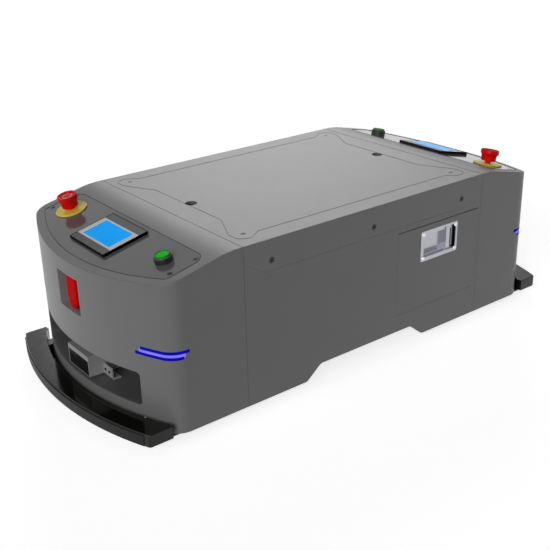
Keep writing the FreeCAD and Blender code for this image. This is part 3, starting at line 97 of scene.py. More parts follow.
class Graph:
    """Node tree of one material, with the surface shader already in place."""

    def __init__(self, name: str) -> None:
        """Starts an empty tree.

        Args:
            name: Name of the material.
        """
        self.material = bpy.data.materials.new(name)
        self.material.use_nodes = True
        self.tree = self.material.node_tree
        self.tree.nodes.clear()
        self.shader = self.add("ShaderNodeBsdfPrincipled")
        output = self.add("ShaderNodeOutputMaterial")
        self.link(self.shader.outputs["BSDF"], output.inputs["Surface"])

    def add(self, kind: str, inputs: dict | None = None, **settings: object) -> bpy.types.Node:
        """Adds a node.

        Args:
            kind: Type name of the node.
            inputs: Values of its sockets, or output sockets to link to them.
            settings: Its other properties.

        Returns:
            The new node.
        """
        node = self.tree.nodes.new(kind)
        for key, setting in settings.items():
            setattr(node, key, setting)
        for key, given in (inputs or {}).items():
            if isinstance(given, bpy.types.NodeSocket):
                self.link(given, node.inputs[key])
            else:
                node.inputs[key].default_value = given
        return node

    def link(self, source: bpy.types.NodeSocket, target: bpy.types.NodeSocket) -> None:
        """Joins two sockets."""
        self.tree.links.new(source, target)

    def place(self, stretch: Point = (1.0, 1.0, 1.0)) -> bpy.types.NodeSocket:
        """Object coordinates, stretched.

        Args:
            stretch: Factor along X, Y and Z.

        Returns:
            The vector socket.
        """
        where = self.add("ShaderNodeTexCoord").outputs["Object"]
        mapping = self.add("ShaderNodeMapping", {"Vector": where, "Scale": stretch})
        return mapping.outputs["Vector"]

    def noise(self, scale: float, stretch: Point = (1.0, 1.0, 1.0), detail: float = 3.0) -> (
            bpy.types.NodeSocket):
        """Noise on Object coordinates.

        Args:
            scale: Noise scale per metre.
            stretch: Factor along X, Y and Z.
            detail: Octaves.

        Returns:
            The value socket.
        """
        node = self.add("ShaderNodeTexNoise",
                        {"Vector": self.place(stretch), "Scale": scale, "Detail": detail})
        return node.outputs[0]

    def ranged(self, source: bpy.types.NodeSocket, low: float, high: float,
               start: float = 0.3, end: float = 0.7) -> bpy.types.NodeSocket:
        """A value spread over a range.

        Args:
            source: The value.
            low: Result at start.
            high: Result at end.
            start: Value that gives low.
            end: Value that gives high.

        Returns:
            The value socket.
        """
        node = self.add("ShaderNodeMapRange", {"Value": source, "From Min": start,
                                               "From Max": end, "To Min": low, "To Max": high})
        return node.outputs["Result"]

    def blend(self, share: bpy.types.NodeSocket, first: Colour | bpy.types.NodeSocket,
              second: Colour) -> bpy.types.NodeSocket:
        """A mix of two colours.

        Args:
            share: Share of the second colour.
            first: The first colour, or a socket that gives it.
            second: The second colour.

        Returns:
            The colour socket.
        """
        node = self.add("ShaderNodeMix", data_type="RGBA")
        self.link(share, node.inputs["Factor"])
        for place, given in ((MIX_FIRST, first), (MIX_SECOND, second)):
            if isinstance(given, bpy.types.NodeSocket):
                self.link(given, node.inputs[place])
            else:
                node.inputs[place].default_value = (*given, 1.0)
        return node.outputs[MIX_RESULT]


def shaded(colour: Colour, factor: float) -> Colour:
    """The colour made lighter or darker by a factor."""
    return tuple(min(1.0, channel * factor) for channel in colour)


@dataclass(frozen=True)
class Finish:
    """A surface finish: colour, gloss and the fine breaking-up of both."""

    name: str
    colour: Colour
    grain: Grain
    roughness: float
    metallic: float = 0.0
    specular: float = 0.5
    mottle: float = 0.04
    mottle_scale: float = 14.0
    rough_spread: float = 0.06
    rough_scale: float = 60.0
    bump: float = 0.05
    bump_depth: float = 0.4 * MM
    wear: float = 0.0
    wear_scale: float = 130.0
    wear_range: tuple[float, float] = (0.58, 0.72)
    wear_tone: float = 1.8

    def material(self) -> bpy.types.Material:
        """The material, made at its first use.

        Returns:
            The Blender material.
        """
        made = MADE.get(self.name)
        if made:
            return made
        graph = Graph("looks_" + self.name)
        MADE[self.name] = graph.material
        shader = graph.shader
        cloud = graph.ranged(graph.noise(self.mottle_scale), 0.0, 1.0)
        tone = graph.blend(cloud, shaded(self.colour, 1 - self.mottle),
                           shaded(self.colour, 1 + self.mottle))
        if self.wear:
            rub = graph.ranged(graph.noise(self.wear_scale, detail=6.0), 0.0, self.wear,
                               *self.wear_range)
            tone = graph.blend(rub, tone, shaded(self.colour, self.wear_tone))
        graph.link(tone, shader.inputs["Base Color"])
        scale, stretch = self.grain.value
        rough = graph.ranged(graph.noise(self.rough_scale, stretch, 4.0),
                             max(0.02, self.roughness - self.rough_spread),
                             min(1.0, self.roughness + self.rough_spread))
        graph.link(rough, shader.inputs["Roughness"])
        bump = graph.add("ShaderNodeBump", {"Height": graph.noise(scale, stretch, 2.0),
                                            "Strength": self.bump,
                                            "Distance": self.bump_depth})
        graph.link(bump.outputs["Normal"], shader.inputs["Normal"])
        shader.inputs["Metallic"].default_value = self.metallic
        shader.inputs["Specular IOR Level"].default_value = self.specular
        return graph.material


@dataclass(frozen=True)
class Glow:
    """A lit plastic or screen: its own light, slightly uneven, under a gloss."""

    name: str
    colour: Colour
    dim: Colour
    strength: float
    roughness: float = 0.2
    rough_spread: float = 0.04
    specular: float = 0.02
    unlit: float = 0.1
    cloud_scale: float = 9.0
    cells: float = 1200.0
    bump: float = 0.03
    bump_depth: float = 0.2 * MM

    def material(self) -> bpy.types.Material:
        """The material, made at its first use.

        Returns:
            The Blender material.
        """
        made = MADE.get(self.name)
        if made:
            return made
        graph = Graph("looks_" + self.name)
        MADE[self.name] = graph.material
        shader = graph.shader
        cloud = graph.ranged(graph.noise(self.cloud_scale, detail=1.0), 0.0, 1.0)
        graph.link(graph.blend(cloud, shaded(self.dim, self.unlit),
                               shaded(self.colour, self.unlit)), shader.inputs["Base Color"])
        graph.link(graph.blend(cloud, self.dim, self.colour), shader.inputs["Emission Color"])
        shader.inputs["Emission Strength"].default_value = self.strength
        shader.inputs["Specular IOR Level"].default_value = self.specular
        graph.link(graph.ranged(graph.noise(self.cells), self.roughness - self.rough_spread,
                                self.roughness + self.rough_spread),
                   shader.inputs["Roughness"])
        bump = graph.add("ShaderNodeBump", {"Height": graph.noise(self.cells),
                                            "Strength": self.bump,
                                            "Distance": self.bump_depth})
        graph.link(bump.outputs["Normal"], shader.inputs["Normal"])
        return graph.material


class Paint:
    """Finishes of the casing and the frame; the recess grey holds painted light and the bay grey
    painted shade.
    """

    CASING = Finish("casing_paint", (0.200, 0.200, 0.200), Grain.PEEL, 0.40, mottle=0.015,
                    rough_spread=0.012, bump=0.03)
    DECK = Finish("deck_paint", (0.202, 0.202, 0.202), Grain.PEEL, 0.40, mottle=0.015,
                  rough_spread=0.012, bump=0.03)
    # Casing grey painted lighter inside the isolator's recess: painted light that makes up for
    # the shade there.
    RECESS_PAINTED_LIGHT = Finish("recess_painted_light", (0.34, 0.34, 0.34), Grain.PEEL, 0.5, mottle=0.03,
                    bump=0.04)
    # Casing grey painted darker inside the scanner bays: painted shade where the bays' walls lie
    # in shadow.
    BAY_PAINTED_SHADE = Finish("bay_painted_shade", (0.13, 0.13, 0.13), Grain.PEEL, 0.5, mottle=0.05, bump=0.05)
    FRAME = Finish("frame_paint", (0.03, 0.03, 0.032), Grain.PEEL, 0.5, mottle=0.1, bump=0.1,
                   wear=0.12)


class Plastic:
    """Finishes of plastics and rubbers."""

    PANEL = Finish("panel_gloss", (0.168, 0.168, 0.170), Grain.POLISHED, 0.10,
                   mottle=0.02, rough_spread=0.02, bump=0.006)
    BAR = Finish("bumper_gloss", (0.010, 0.011, 0.008), Grain.POLISHED, 0.10, mottle=0.2,
                 rough_spread=0.02, bump=0.008, specular=0.32)
    STRIP = Finish("bumper_rubber", (0.028, 0.029, 0.030), Grain.RUBBER, 0.5, mottle=0.08,
                   rough_spread=0.03, bump=0.03, specular=0.14)
    # Pale grey of the scanner case and its bracket: partly their own colour, partly raised as
    # painted light to make up for the shade in the bay.
    SCANNER_WITH_FILL = Finish("scanner_case_with_fill", (0.40, 0.40, 0.395), Grain.MOULDED, 0.45, mottle=0.03,
                     bump=0.06)
    EDGE = Finish("edge_black", (0.006, 0.006, 0.006), Grain.MOULDED, 0.6, mottle=0.1,
                  bump=0.03, specular=0.04)
    PANE = Finish("pane_black", (0.006, 0.007, 0.005), Grain.POLISHED, 0.15, mottle=0.1,
                  rough_spread=0.02, bump=0.01, specular=0.1)
    BLACK = Finish("black_plastic", (0.014, 0.014, 0.014), Grain.MOULDED, 0.42, mottle=0.1,
                   bump=0.12)
    HOUSING = Finish("display_housing", (0.036, 0.036, 0.034), Grain.MOULDED, 0.4, mottle=0.06,
                     bump=0.12)
    WHITE = Finish("screen_border", (0.95, 0.95, 1.0), Grain.POLISHED, 0.2, mottle=0.02,
                   bump=0.01)
    RED = Finish("red_plastic", (0.86, 0.002, 0.002), Grain.POLISHED, 0.3,
                 mottle=0.04, bump=0.015, specular=0.12)
    HANDLE = Finish("isolator_red", (0.80, 0.001, 0.001), Grain.MOULDED, 0.5,
                    mottle=0.04, bump=0.03, specular=0.03)
    # Pale pink of the stop button's turn arrows: partly the arrows' own pale colour, partly a
    # painted highlight of the crown's bright arcs.
    MARK_AND_HIGHLIGHT = Finish("pale_mark_and_highlight", (0.90, 0.36, 0.36), Grain.MOULDED, 0.4, mottle=0.04, bump=0.03)
    YELLOW = Finish("yellow_plastic", (0.94, 0.82, 0.09), Grain.MOULDED, 0.35, mottle=0.03,
                    bump=0.04)
    GREEN = Finish("green_plastic", (0.004, 0.95, 0.010), Grain.POLISHED, 0.35,
                   mottle=0.04, bump=0.02, specular=0.05)
    # Dark green ring round the start cap: painted shade of the cap's rounded edge.
    GREEN_PAINTED_SHADE = Finish("green_rim_painted_shade", (0.008, 0.09, 0.028), Grain.MOULDED, 0.35,
                        mottle=0.06, bump=0.04)
    SEAL = Finish("seal_rubber", (0.022, 0.022, 0.022), Grain.RUBBER, 0.6, mottle=0.1, bump=0.1)
    TREAD = Finish("tread_rubber", (0.028, 0.028, 0.028), Grain.RUBBER, 0.7, mottle=0.15,
                   bump=0.25)
    BATTERY = Finish("battery_case", (0.02, 0.035, 0.07), Grain.MOULDED, 0.45, mottle=0.06,
                     bump=0.15)


class Metal:
    """Finishes of bare and plated metals."""

    CHROME = Finish("chrome_plate", (0.42, 0.42, 0.46), Grain.POLISHED, 0.22, metallic=1.0,
                    mottle=0.04, rough_spread=0.06, bump=0.012)
    BRIGHT = Finish("bright_screw", (0.80, 0.80, 0.82), Grain.POLISHED, 0.15, metallic=1.0,
                    mottle=0.02, rough_spread=0.04, bump=0.012)
    SCREW = Finish("screw_steel", (0.035, 0.035, 0.037), Grain.CAST, 0.35, metallic=0.6,
                   mottle=0.15, bump=0.06)
    ZINC = Finish("bright_steel", (0.52, 0.52, 0.53), Grain.BRUSHED, 0.3, metallic=1.0,
                  mottle=0.06, rough_spread=0.1, bump=0.06)
    CAST = Finish("cast_alloy", (0.42, 0.42, 0.44), Grain.CAST, 0.5, metallic=0.9,
                  mottle=0.08, bump=0.2)


class Light:
    """Finishes that shine."""

    SCREEN = Glow("screen_glass", (0.0, 0.37, 0.95), (0.0, 0.30, 0.84), 0.9)
    LAMP = Glow("lamp_glow", (0.24, 0.20, 0.95), (0.20, 0.16, 0.88), 0.95, 0.3)
    LINE = Glow("lamp_line", (0.004, 0.003, 0.36), (0.003, 0.002, 0.30), 0.9, 0.3)


# ---------------------------------------------------------------- meshes

def piece(name: str, bm: bmesh.types.BMesh, finish: Finish | Glow, body: str) -> bpy.types.Object:
    """Makes a finished piece of a mesh that is already in place.

    Args:
        name: Name of the piece.
        bm: Its mesh, which is freed.
        finish: Its finish.
        body: The body it rides on.

    Returns:
        The new object.
    """
    mesh = bpy.data.meshes.new(name)
    bm.to_mesh(mesh)
    bm.free()
    mesh.materials.append(finish.material())
    return settle(name, mesh, body)


def settle(name: str, mesh: bpy.types.Mesh, body: str) -> bpy.types.Object:
    """Shades a mesh, links it and lets it ride.

    Args:
        name: Name of the piece.
        mesh: Its mesh, in place.
        body: The body it rides on.

    Returns:
        The new object.
    """
    mesh.polygons.foreach_set("use_smooth", [True] * len(mesh.polygons))
    mesh.set_sharp_from_angle(angle=SHARP)
    mesh.name = name
    item = bpy.data.objects.new(name, mesh)
    bpy.context.scene.collection.objects.link(item)
    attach(item, body)
    LOG.info("%s: %d faces on %s", name, len(mesh.polygons), body)
    return item


def revolved(profile: Sequence[tuple[float, float]], segments: int = 24,
             hexagon: Iterable[int] = ()) -> bmesh.types.BMesh:
    """Turns a profile about Z into a closed solid.

    Args:
        profile: (radius, z) from the axis at the bottom, round the outside, to the axis at
            the top, in metres.
        segments: Sides of the turned solid.
        hexagon: Indices of profile points that lie on a hexagon instead of a circle.

    Returns:
        The mesh.
    """
    bm = bmesh.new()
    flats = set(hexagon)
    rows = []
    for n, (radius, z) in enumerate(profile):
        if radius == 0:
            rows.append([bm.verts.new((0, 0, z))])
            continue
        row = []
        for k in range(segments):
            angle = 2 * math.pi * k / segments
            reach = radius
            if n in flats:
                reach = radius / math.cos(angle % (math.pi / 3) - math.pi / 6)
            row.append(bm.verts.new((reach * math.cos(angle), reach * math.sin(angle), z)))
        rows.append(row)
    for low, high in zip(rows, rows[1:]):
        for k in range(segments):
            after = (k + 1) % segments
            corners = [low[k % len(low)], low[after % len(low)],
                       high[after % len(high)], high[k % len(high)]]
            ring = list(dict.fromkeys(corners))
            if len(ring) > 2:
                bm.faces.new(ring)
    bmesh.ops.recalc_face_normals(bm, faces=bm.faces)
    return bm


def ring_of(profile: Sequence[tuple[float, float]], segments: int) -> bmesh.types.BMesh:
    """Turns a closed profile about Z into a ring.

    Args:
        profile: (radius, z) round the section, in metres.
        segments: Sides of the ring.

    Returns:
        The mesh.
    """
    bm = bmesh.new()
    rows = []
    for k in range(segments):
        angle = 2 * math.pi * k / segments
        rows.append([bm.verts.new((r * math.cos(angle), r * math.sin(angle), z))
                     for r, z in profile])
    for k, row in enumerate(rows):
        after = rows[(k + 1) % segments]
        for n in range(len(profile)):
            m = (n + 1) % len(profile)
            bm.faces.new([row[n], after[n], after[m], row[m]])
    bmesh.ops.recalc_face_normals(bm, faces=bm.faces)
    return bm


def metres(profile: Profile) -> list[tuple[float, float]]:
    """A profile given in millimetres, in metres."""
    return [(a * MM, b * MM) for a, b in profile]


def both_sides(half: list[tuple[float, float]]) -> list[tuple[float, float]]:
    """A line's right half, from the middle outwards, made whole from left to right."""
    return [(-x, y) for x, y in reversed(half[1:])] + half


def prism(outline: Sequence[tuple[float, float]], bottom: float, top: float,
          soften: float = 0.0) -> bmesh.types.BMesh:
    """Raises a closed outline into a plate.

    Args:
        outline: Corners in X and Y, counter-clockwise, in metres.
        bottom: Z of its lower face.
        top: Z of its upper face.
        soften: Width of the bevel round its edges.

    Returns:
        The mesh.
    """
    bm = bmesh.new()
    base = bm.faces.new([bm.verts.new((x, y, bottom)) for x, y in outline])
    raised = bmesh.ops.extrude_face_region(bm, geom=[base])["geom"]
    verts = [v for v in raised if isinstance(v, bmesh.types.BMVert)]
    bmesh.ops.translate(bm, verts=verts, vec=(0, 0, top - bottom))
    bmesh.ops.recalc_face_normals(bm, faces=bm.faces)
    if soften:
        rims = [e for e in bm.edges if e.verts[0].co.z == e.verts[1].co.z]
        bmesh.ops.bevel(bm, geom=rims, offset=soften, segments=2, profile=0.5,
                        affect="EDGES")
    return bm


def block(low: Point, high: Point, soften: float = 0.0) -> bmesh.types.BMesh:
    """A box between two corners, in millimetres, with eased rims.

    Args:
        low: Its lowest corner.
        high: Its highest corner.
        soften: Width of the bevel round its upper and lower rims.

    Returns:
        The mesh, in metres.
    """
    (x0, y0, z0), (x1, y1, z1) = [[c * MM for c in corner] for corner in (low, high)]
    return prism([(x0, y0), (x1, y0), (x1, y1), (x0, y1)], z0, z1, soften * MM)


def niche(low: Point, high: Point, opening: tuple[float, float, float, float], depth: float,
          soften: float) -> bmesh.types.BMesh:
    """A crisp box whose front face, at its lowest Y, has a sunk pocket.

    Args:
        low: Its lowest corner, in metres.
        high: Its highest corner.
        opening: Left, right, bottom and top of the pocket.
        depth: Depth of the pocket.
        soften: Width of the bevel on its outer edges.

    Returns:
        The mesh, closed.
    """
    bm = bmesh.new()
    sides = (low[0], high[0], low[2], high[2])
    rings = []
    for (left, right, bottom, top), y in ((sides, high[1]), (sides, low[1]),
                                          (opening, low[1]), (opening, low[1] + depth)):
        rings.append([bm.verts.new(c) for c in ((left, y, bottom), (right, y, bottom),
                                                (right, y, top), (left, y, top))])
    back, front, _, floor = rings
    bm.faces.new(reversed(back))
    bm.faces.new(floor)
    for outer, inner in zip(rings, rings[1:]):
        for k in range(4):
            after = (k + 1) % 4
            bm.faces.new((outer[k], outer[after], inner[after], inner[k]))
    bmesh.ops.recalc_face_normals(bm, faces=bm.faces)
    shell = set(back + front)
    edges = [e for e in bm.edges if e.verts[0] in shell and e.verts[1] in shell]
    bmesh.ops.bevel(bm, geom=edges, offset=soften, segments=2, profile=0.5, affect="EDGES")
    return bm


def round_rect(width: float, height: float, radius: float, steps: int = 5) -> (
        list[tuple[float, float]]):
    """Outline of a rectangle with round corners about the origin.

    Args:
        width: Size along X.
        height: Size along Y.
        radius: Corner radius.
        steps: Points to a corner.

    Returns:
        Its corners, counter-clockwise.
    """
    points = []
    for quarter in range(4):
        sx = 1 if quarter in (0, 3) else -1
        sy = 1 if quarter < 2 else -1
        for k in range(steps + 1):
            angle = math.pi / 2 * (quarter + k / steps)
            points.append((sx * (width / 2 - radius) + radius * math.cos(angle),
                           sy * (height / 2 - radius) + radius * math.sin(angle)))
    return points


def joined(parts: Iterable[bmesh.types.BMesh]) -> bmesh.types.BMesh:
    """Puts several meshes into one new mesh, and frees them.

    Args:
        parts: The meshes.

    Returns:
        The joined mesh.
    """
    whole = bmesh.new()
    for part in parts:
        scratch = bpy.data.meshes.new("scratch")
        part.to_mesh(scratch)
        part.free()
        whole.from_mesh(scratch)
        bpy.data.meshes.remove(scratch)
    return whole


def moved(bm: bmesh.types.BMesh, matrix: Matrix) -> bmesh.types.BMesh:
    """The mesh after a placement."""
    bmesh.ops.transform(bm, matrix=matrix, verts=bm.verts)
    return bm


# ---------------------------------------------------------------- geometry trees

class Tree:
    """A Geometry Nodes tree with named inputs that ends in one realised, dressed mesh."""

    def __init__(self, name: str) -> None:
        """Starts the tree with its geometry socket.

        Args:
            name: Name of the tree.
        """
        self.group = bpy.data.node_groups.new(name, "GeometryNodeTree")
        for side in ("INPUT", "OUTPUT"):
            self.group.interface.new_socket("Geometry", in_out=side,
                                            socket_type="NodeSocketGeometry")
        self.entry = self.group.nodes.new("NodeGroupInput")
        self.exit = self.group.nodes.new("NodeGroupOutput")

    def takes(self, name: str, kind: str) -> bpy.types.NodeSocket:
        """Adds a named input.

        Args:
            name: Name of the input.
            kind: What it holds, such as Float, Int, Object or Material.

        Returns:
            The socket inside the tree.
        """
        self.group.interface.new_socket(name, in_out="INPUT", socket_type="NodeSocket" + kind)
        return self.entry.outputs[name]

    def add(self, kind: str, inputs: dict | None = None, **settings: object) -> bpy.types.Node:
        """Adds a node.

        Args:
            kind: Type name after "GeometryNode" or "FunctionNode".
            inputs: Values of its sockets, or sockets to link to them.
            settings: Its other properties.

        Returns:
            The new node.
        """
        node = self.group.nodes.new(kind)
        for key, setting in settings.items():
            setattr(node, key, setting)
        for key, given in (inputs or {}).items():
            if isinstance(given, bpy.types.NodeSocket):
                self.group.links.new(given, node.inputs[key])
            else:
                node.inputs[key].default_value = given
        return node

    def end(self, geometry: bpy.types.NodeSocket) -> None:
        """Realises the geometry, gives it the material input and ends the tree.

        Args:
            geometry: What the tree has made.
        """
        dress = self.takes("Material", "Material")
        real = self.add("GeometryNodeRealizeInstances", {"Geometry": geometry})
        done = self.add("GeometryNodeSetMaterial",
                        {"Geometry": real.outputs["Geometry"], "Material": dress})
        self.group.links.new(done.outputs["Geometry"], self.exit.inputs["Geometry"])

    def grow(self, name: str, host_data: bpy.types.ID, given: dict, body: str,
             slot: str | None = None) -> bpy.types.Object:
        """Runs the tree on a mesh or curve and keeps the result as a plain mesh.

        Args:
            name: Name of the piece.
            host_data: The mesh or curve that the tree starts from.
            given: Values of the named inputs.
            body: The body the piece rides on.
            slot: Not used.

        Returns:
            The new object.
        """
        host = bpy.data.objects.new(name + "_host", host_data)
        bpy.context.scene.collection.objects.link(host)
        modifier = host.modifiers.new("Grow", "NODES")
        modifier.node_group = self.group
        for item in self.group.interface.items_tree:
            if item.item_type == "SOCKET" and item.in_out == "INPUT" and item.name in given:
                modifier[item.identifier] = given[item.name]
        depsgraph = bpy.context.evaluated_depsgraph_get()
        mesh = bpy.data.meshes.new_from_object(host.evaluated_get(depsgraph))
        host.modifiers.remove(modifier)
        bpy.data.objects.remove(host)
        return settle(name, mesh, body)


class StampTree(Tree):
    """Sets a pattern piece on every point, turned as the point's "turn" attribute says."""

    def __init__(self) -> None:
        """Builds the tree."""
        super().__init__("stamp")
        pattern = self.takes("Pattern", "Object")
        scale = self.takes("Scale", "Float")
        shape = self.add("GeometryNodeObjectInfo", {"Object": pattern})
        turn = self.add("GeometryNodeInputNamedAttribute", {"Name": "turn"},
                        data_type="FLOAT_VECTOR")
        spin = self.add("FunctionNodeEulerToRotation", {"Euler": turn.outputs["Attribute"]})
        points = self.add("GeometryNodeMeshToPoints", {"Mesh": self.entry.outputs["Geometry"]})
        stamped = self.add("GeometryNodeInstanceOnPoints", {
            "Points": points.outputs["Points"], "Instance": shape.outputs["Geometry"],
            "Rotation": spin.outputs["Rotation"], "Scale": scale})
        self.end(stamped.outputs["Instances"])

    def set_out(self, name: str, pattern: bmesh.types.BMesh, places: Sequence[Matrix],
                finish: Finish | Glow, body: str, slot: str | None = None) -> bpy.types.Object:
        """Sets one pattern out at several places.

        Args:
            name: Name of the piece.
            pattern: Mesh of one pattern, about the origin; it is freed.
            places: Placement of each copy.
            finish: Finish of the copies.
            body: The body they ride on.
            slot: The record's material slot.

        Returns:
            The new object.
        """
        shape = bpy.data.meshes.new("pattern")
        pattern.to_mesh(shape)
        pattern.free()
        template = bpy.data.objects.new("pattern", shape)
        bpy.context.scene.collection.objects.link(template)
        host = bpy.data.meshes.new("places")
        host.from_pydata([m.to_translation() for m in places], [], [])
        turns = host.attributes.new("turn", "FLOAT_VECTOR", "POINT")
        turns.data.foreach_set("vector", [a for m in places for a in m.to_euler()])
        made = self.grow(name, host, {"Pattern": template, "Scale": 1.0,
                                      "Material": finish.material()}, body, slot)
        bpy.data.objects.remove(template)
        return made


class BeadTree(Tree):
    """Draws a bead along a curve; along a level curve its width stands upright."""

    sides = 12

    def __init__(self) -> None:
        """Builds the tree."""
        super().__init__("bead")
        width = self.takes("Width", "Float")
        depth = self.takes("Depth", "Float")
        size = self.add("ShaderNodeCombineXYZ", {"X": depth, "Y": width, "Z": 1.0})
        section = self.add("GeometryNodeCurvePrimitiveCircle",
                           {"Resolution": self.sides, "Radius": 0.5})
        shape = self.add("GeometryNodeTransform", {"Geometry": section.outputs["Curve"],
                                                   "Scale": size.outputs["Vector"]})
        upright = self.add("GeometryNodeSetCurveNormal",
                           {"Curve": self.entry.outputs["Geometry"]}, mode="Z_UP")
        bead = self.add("GeometryNodeCurveToMesh", {
            "Curve": upright.outputs["Curve"], "Profile Curve": shape.outputs["Geometry"],
            "Fill Caps": True})
        self.end(bead.outputs["Mesh"])

    def draw(self, name: str, paths: Sequence[tuple[Sequence[Vector], bool]], width: float,
             finish: Finish | Glow, body: str, slot: str | None = None,
             depth: float | None = None) -> bpy.types.Object:
        """Draws beads along several paths as one piece.

        Args:
            name: Name of the piece.
            paths: Points of each path, and whether it closes.
            width: Width of the bead.
            finish: Its finish.
            body: The body it rides on.
            slot: The record's material slot.
            depth: Its size square to its width; the same as its width if not given.

        Returns:
            The new object.
        """
        curve = bpy.data.curves.new(name, "CURVE")
        curve.dimensions = "3D"
        for points, closed in paths:
            spline = curve.splines.new("POLY")
            spline.points.add(len(points) - 1)
            spline.points.foreach_set("co", [c for p in points for c in (*p, 1.0)])
            spline.use_cyclic_u = closed
        return self.grow(name, curve, {"Width": width, "Depth": depth or width,
                                       "Material": finish.material()}, body, slot)


# ---------------------------------------------------------------- frame

class End(Enum):
    """The two ends of the robot."""

    FRONT = "front"
    REAR = "rear"

    @property
    def turn(self) -> Matrix:
        """Placement that brings a front piece to this end."""
        return Matrix.Rotation(0 if self is End.FRONT else math.pi, 4, "Z")


@dataclass(frozen=True)
class Slope:
    """The control slope: where it starts and how it falls towards the end."""

    start: float = 321 * MM
    height: float = 320 * MM
    angle: float = math.radians(13)

    def place(self, end: End, x: float, distance: float, rise: float = 0.0) -> Matrix:
        """Placement on the slope, with Z square to it and -Y down it.

        Args:
            end: Which end.
            x: Offset to the right, looking from that end's front.
            distance: Distance down the slope from its start.
            rise: Height above its face.

        Returns:
            The placement.
        """
        return (end.turn @ Matrix.Translation((0, -self.start, self.height))
                @ Matrix.Rotation(self.angle, 4, "X")
                @ Matrix.Translation((x, -distance, rise)))


def centre(node: str) -> Vector:
    """Middle of a frame node's box."""
    low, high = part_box(node)
    return (low + high) / 2


def rim(node: bpy.types.Object, facing: Vector, outset: float = 0.0,
        aligned: float = 0.999, level: float = 0.05 * MM) -> list[Vector]:
    """Outer edge of the flat face of a node that looks a given way.

    Args:
        node: The frame node.
        facing: Direction the face looks, of unit length.
        outset: Distance to move the edge outwards in its plane.
        aligned: Least cosine between a facet of the face and that direction.
        level: How far below the highest such facet the others may lie.

    Returns:
        The points of the longest edge loop, in order.
    """
    bm = bmesh.new()
    bm.from_mesh(node.data)
    bmesh.ops.remove_doubles(bm, verts=bm.verts, dist=WELD)
    bm.normal_update()
    flat = [f for f in bm.faces if f.normal.dot(facing) > aligned]
    top = max(f.calc_center_median().dot(facing) for f in flat)
    face = {f for f in flat if f.calc_center_median().dot(facing) > top - level}
    edges = {e for f in face for e in f.edges if sum(g in face for g in e.link_faces) == 1}
    loops = []
    while edges:
        edge = edges.pop()
        loop = [edge.verts[0], edge.verts[1]]
        while True:
            step = next((e for e in loop[-1].link_edges if e in edges), None)
            if step is None:
                break
            edges.remove(step)
            loop.append(step.other_vert(loop[-1]))
        loops.append([v.co.copy() for v in loop[:-1]])
    bm.free()
    best = max(loops, key=lambda points: sum((a - b).length for a, b in
                                             zip(points, points[1:] + points[:1])))
    middle = sum(best, Vector()) / len(best)
    area = sum(((a - middle).cross(b - middle) for a, b in zip(best, best[1:] + best[:1])),
               Vector())
    if area.dot(facing) < 0:
        best.reverse()
    pushed = []
    for n, point in enumerate(best):
        along = (best[(n + 1) % len(best)] - best[n - 1]).normalized()
        pushed.append(point + along.cross(facing) * outset)
    return pushed


class Assembly:
    """A sub-assembly: dresses its nodes and builds its own pieces."""

    title = "assembly"

    def __init__(self, nodes: dict[str, bpy.types.Object], stamp: StampTree,
                 bead: BeadTree) -> None:
        """Keeps what the sub-assemblies share.

        Args:
            nodes: The frame's nodes.
            stamp: Tree that sets out patterns.
            bead: Tree that draws beads.
        """
        self.nodes = nodes
        self.stamp = stamp
        self.bead = bead

    def finishes(self) -> dict[str, Finish | Glow]:
        """Finish of each frame node of this sub-assembly."""
        return {}

    def dress(self) -> None:
        """Gives each node its finish."""
        for name, finish in self.finishes().items():
            node = self.nodes[name]
            if not node.material_slots:
                node.data.materials.append(None)
            for slot in node.material_slots:
                slot.material = finish.material()

    def make(self) -> None:
        """Builds the pieces of this sub-assembly."""

    def build(self) -> None:
        """Dresses the nodes and makes the pieces."""
        LOG.info("building %s", self.title)
        self.dress()
        self.make()


@dataclass(frozen=True)
class Fastener:
    """A screw's or a cap's head that rests on Z = 0.

    The shares are of half its width, or of its rise.
    """

    width: float
    rise: float
    socket: float = 0.0
    dome: float = 0.35
    shoulder_width: float = 0.93
    shoulder_drop: float = 0.4
    crown: float = 0.78
    peak: float = 1.08
    socket_floor: float = 0.35
    sink: float = 0.2 * MM

    def shape(self, segments: int = 24) -> bmesh.types.BMesh:
        """Mesh of the head.

        Args:
            segments: Sides of the head.

        Returns:
            The mesh.
        """
        half, rise = self.width / 2, self.rise
        profile = [(0.0, -self.sink), (half, -self.sink), (half, rise * (1 - self.dome)),
                   (half * self.shoulder_width, rise * (1 - self.dome * self.shoulder_drop)),
                   (half * self.crown, rise)]
        flats = []
        if self.socket:
            flats = [len(profile), len(profile) + 1]
            across, floor = self.socket / 2, rise * self.socket_floor
            profile += [(across, rise), (across, floor), (0.0, floor)]
        else:
            profile += [(0.0, rise * self.peak)]
        return revolved(profile, segments, flats)


# ---------------------------------------------------------------- sub-assemblies

@dataclass(frozen=True)
class CasingSizes:
    """Sizes of the casing's seals."""

    side: float = 240 * MM
    deck: float = 320 * MM
    plate_seam: float = 0.8 * MM
    plate_outset: float = 0.15 * MM
    door_line: float = 3.8 * MM
    door_depth: float = 1.0 * MM
    door_sink: float = 0.35 * MM
    door_lift: float = 0.2 * MM
    nose_seam: float = 0.7 * MM
    nose_seam_y: float = 293 * MM


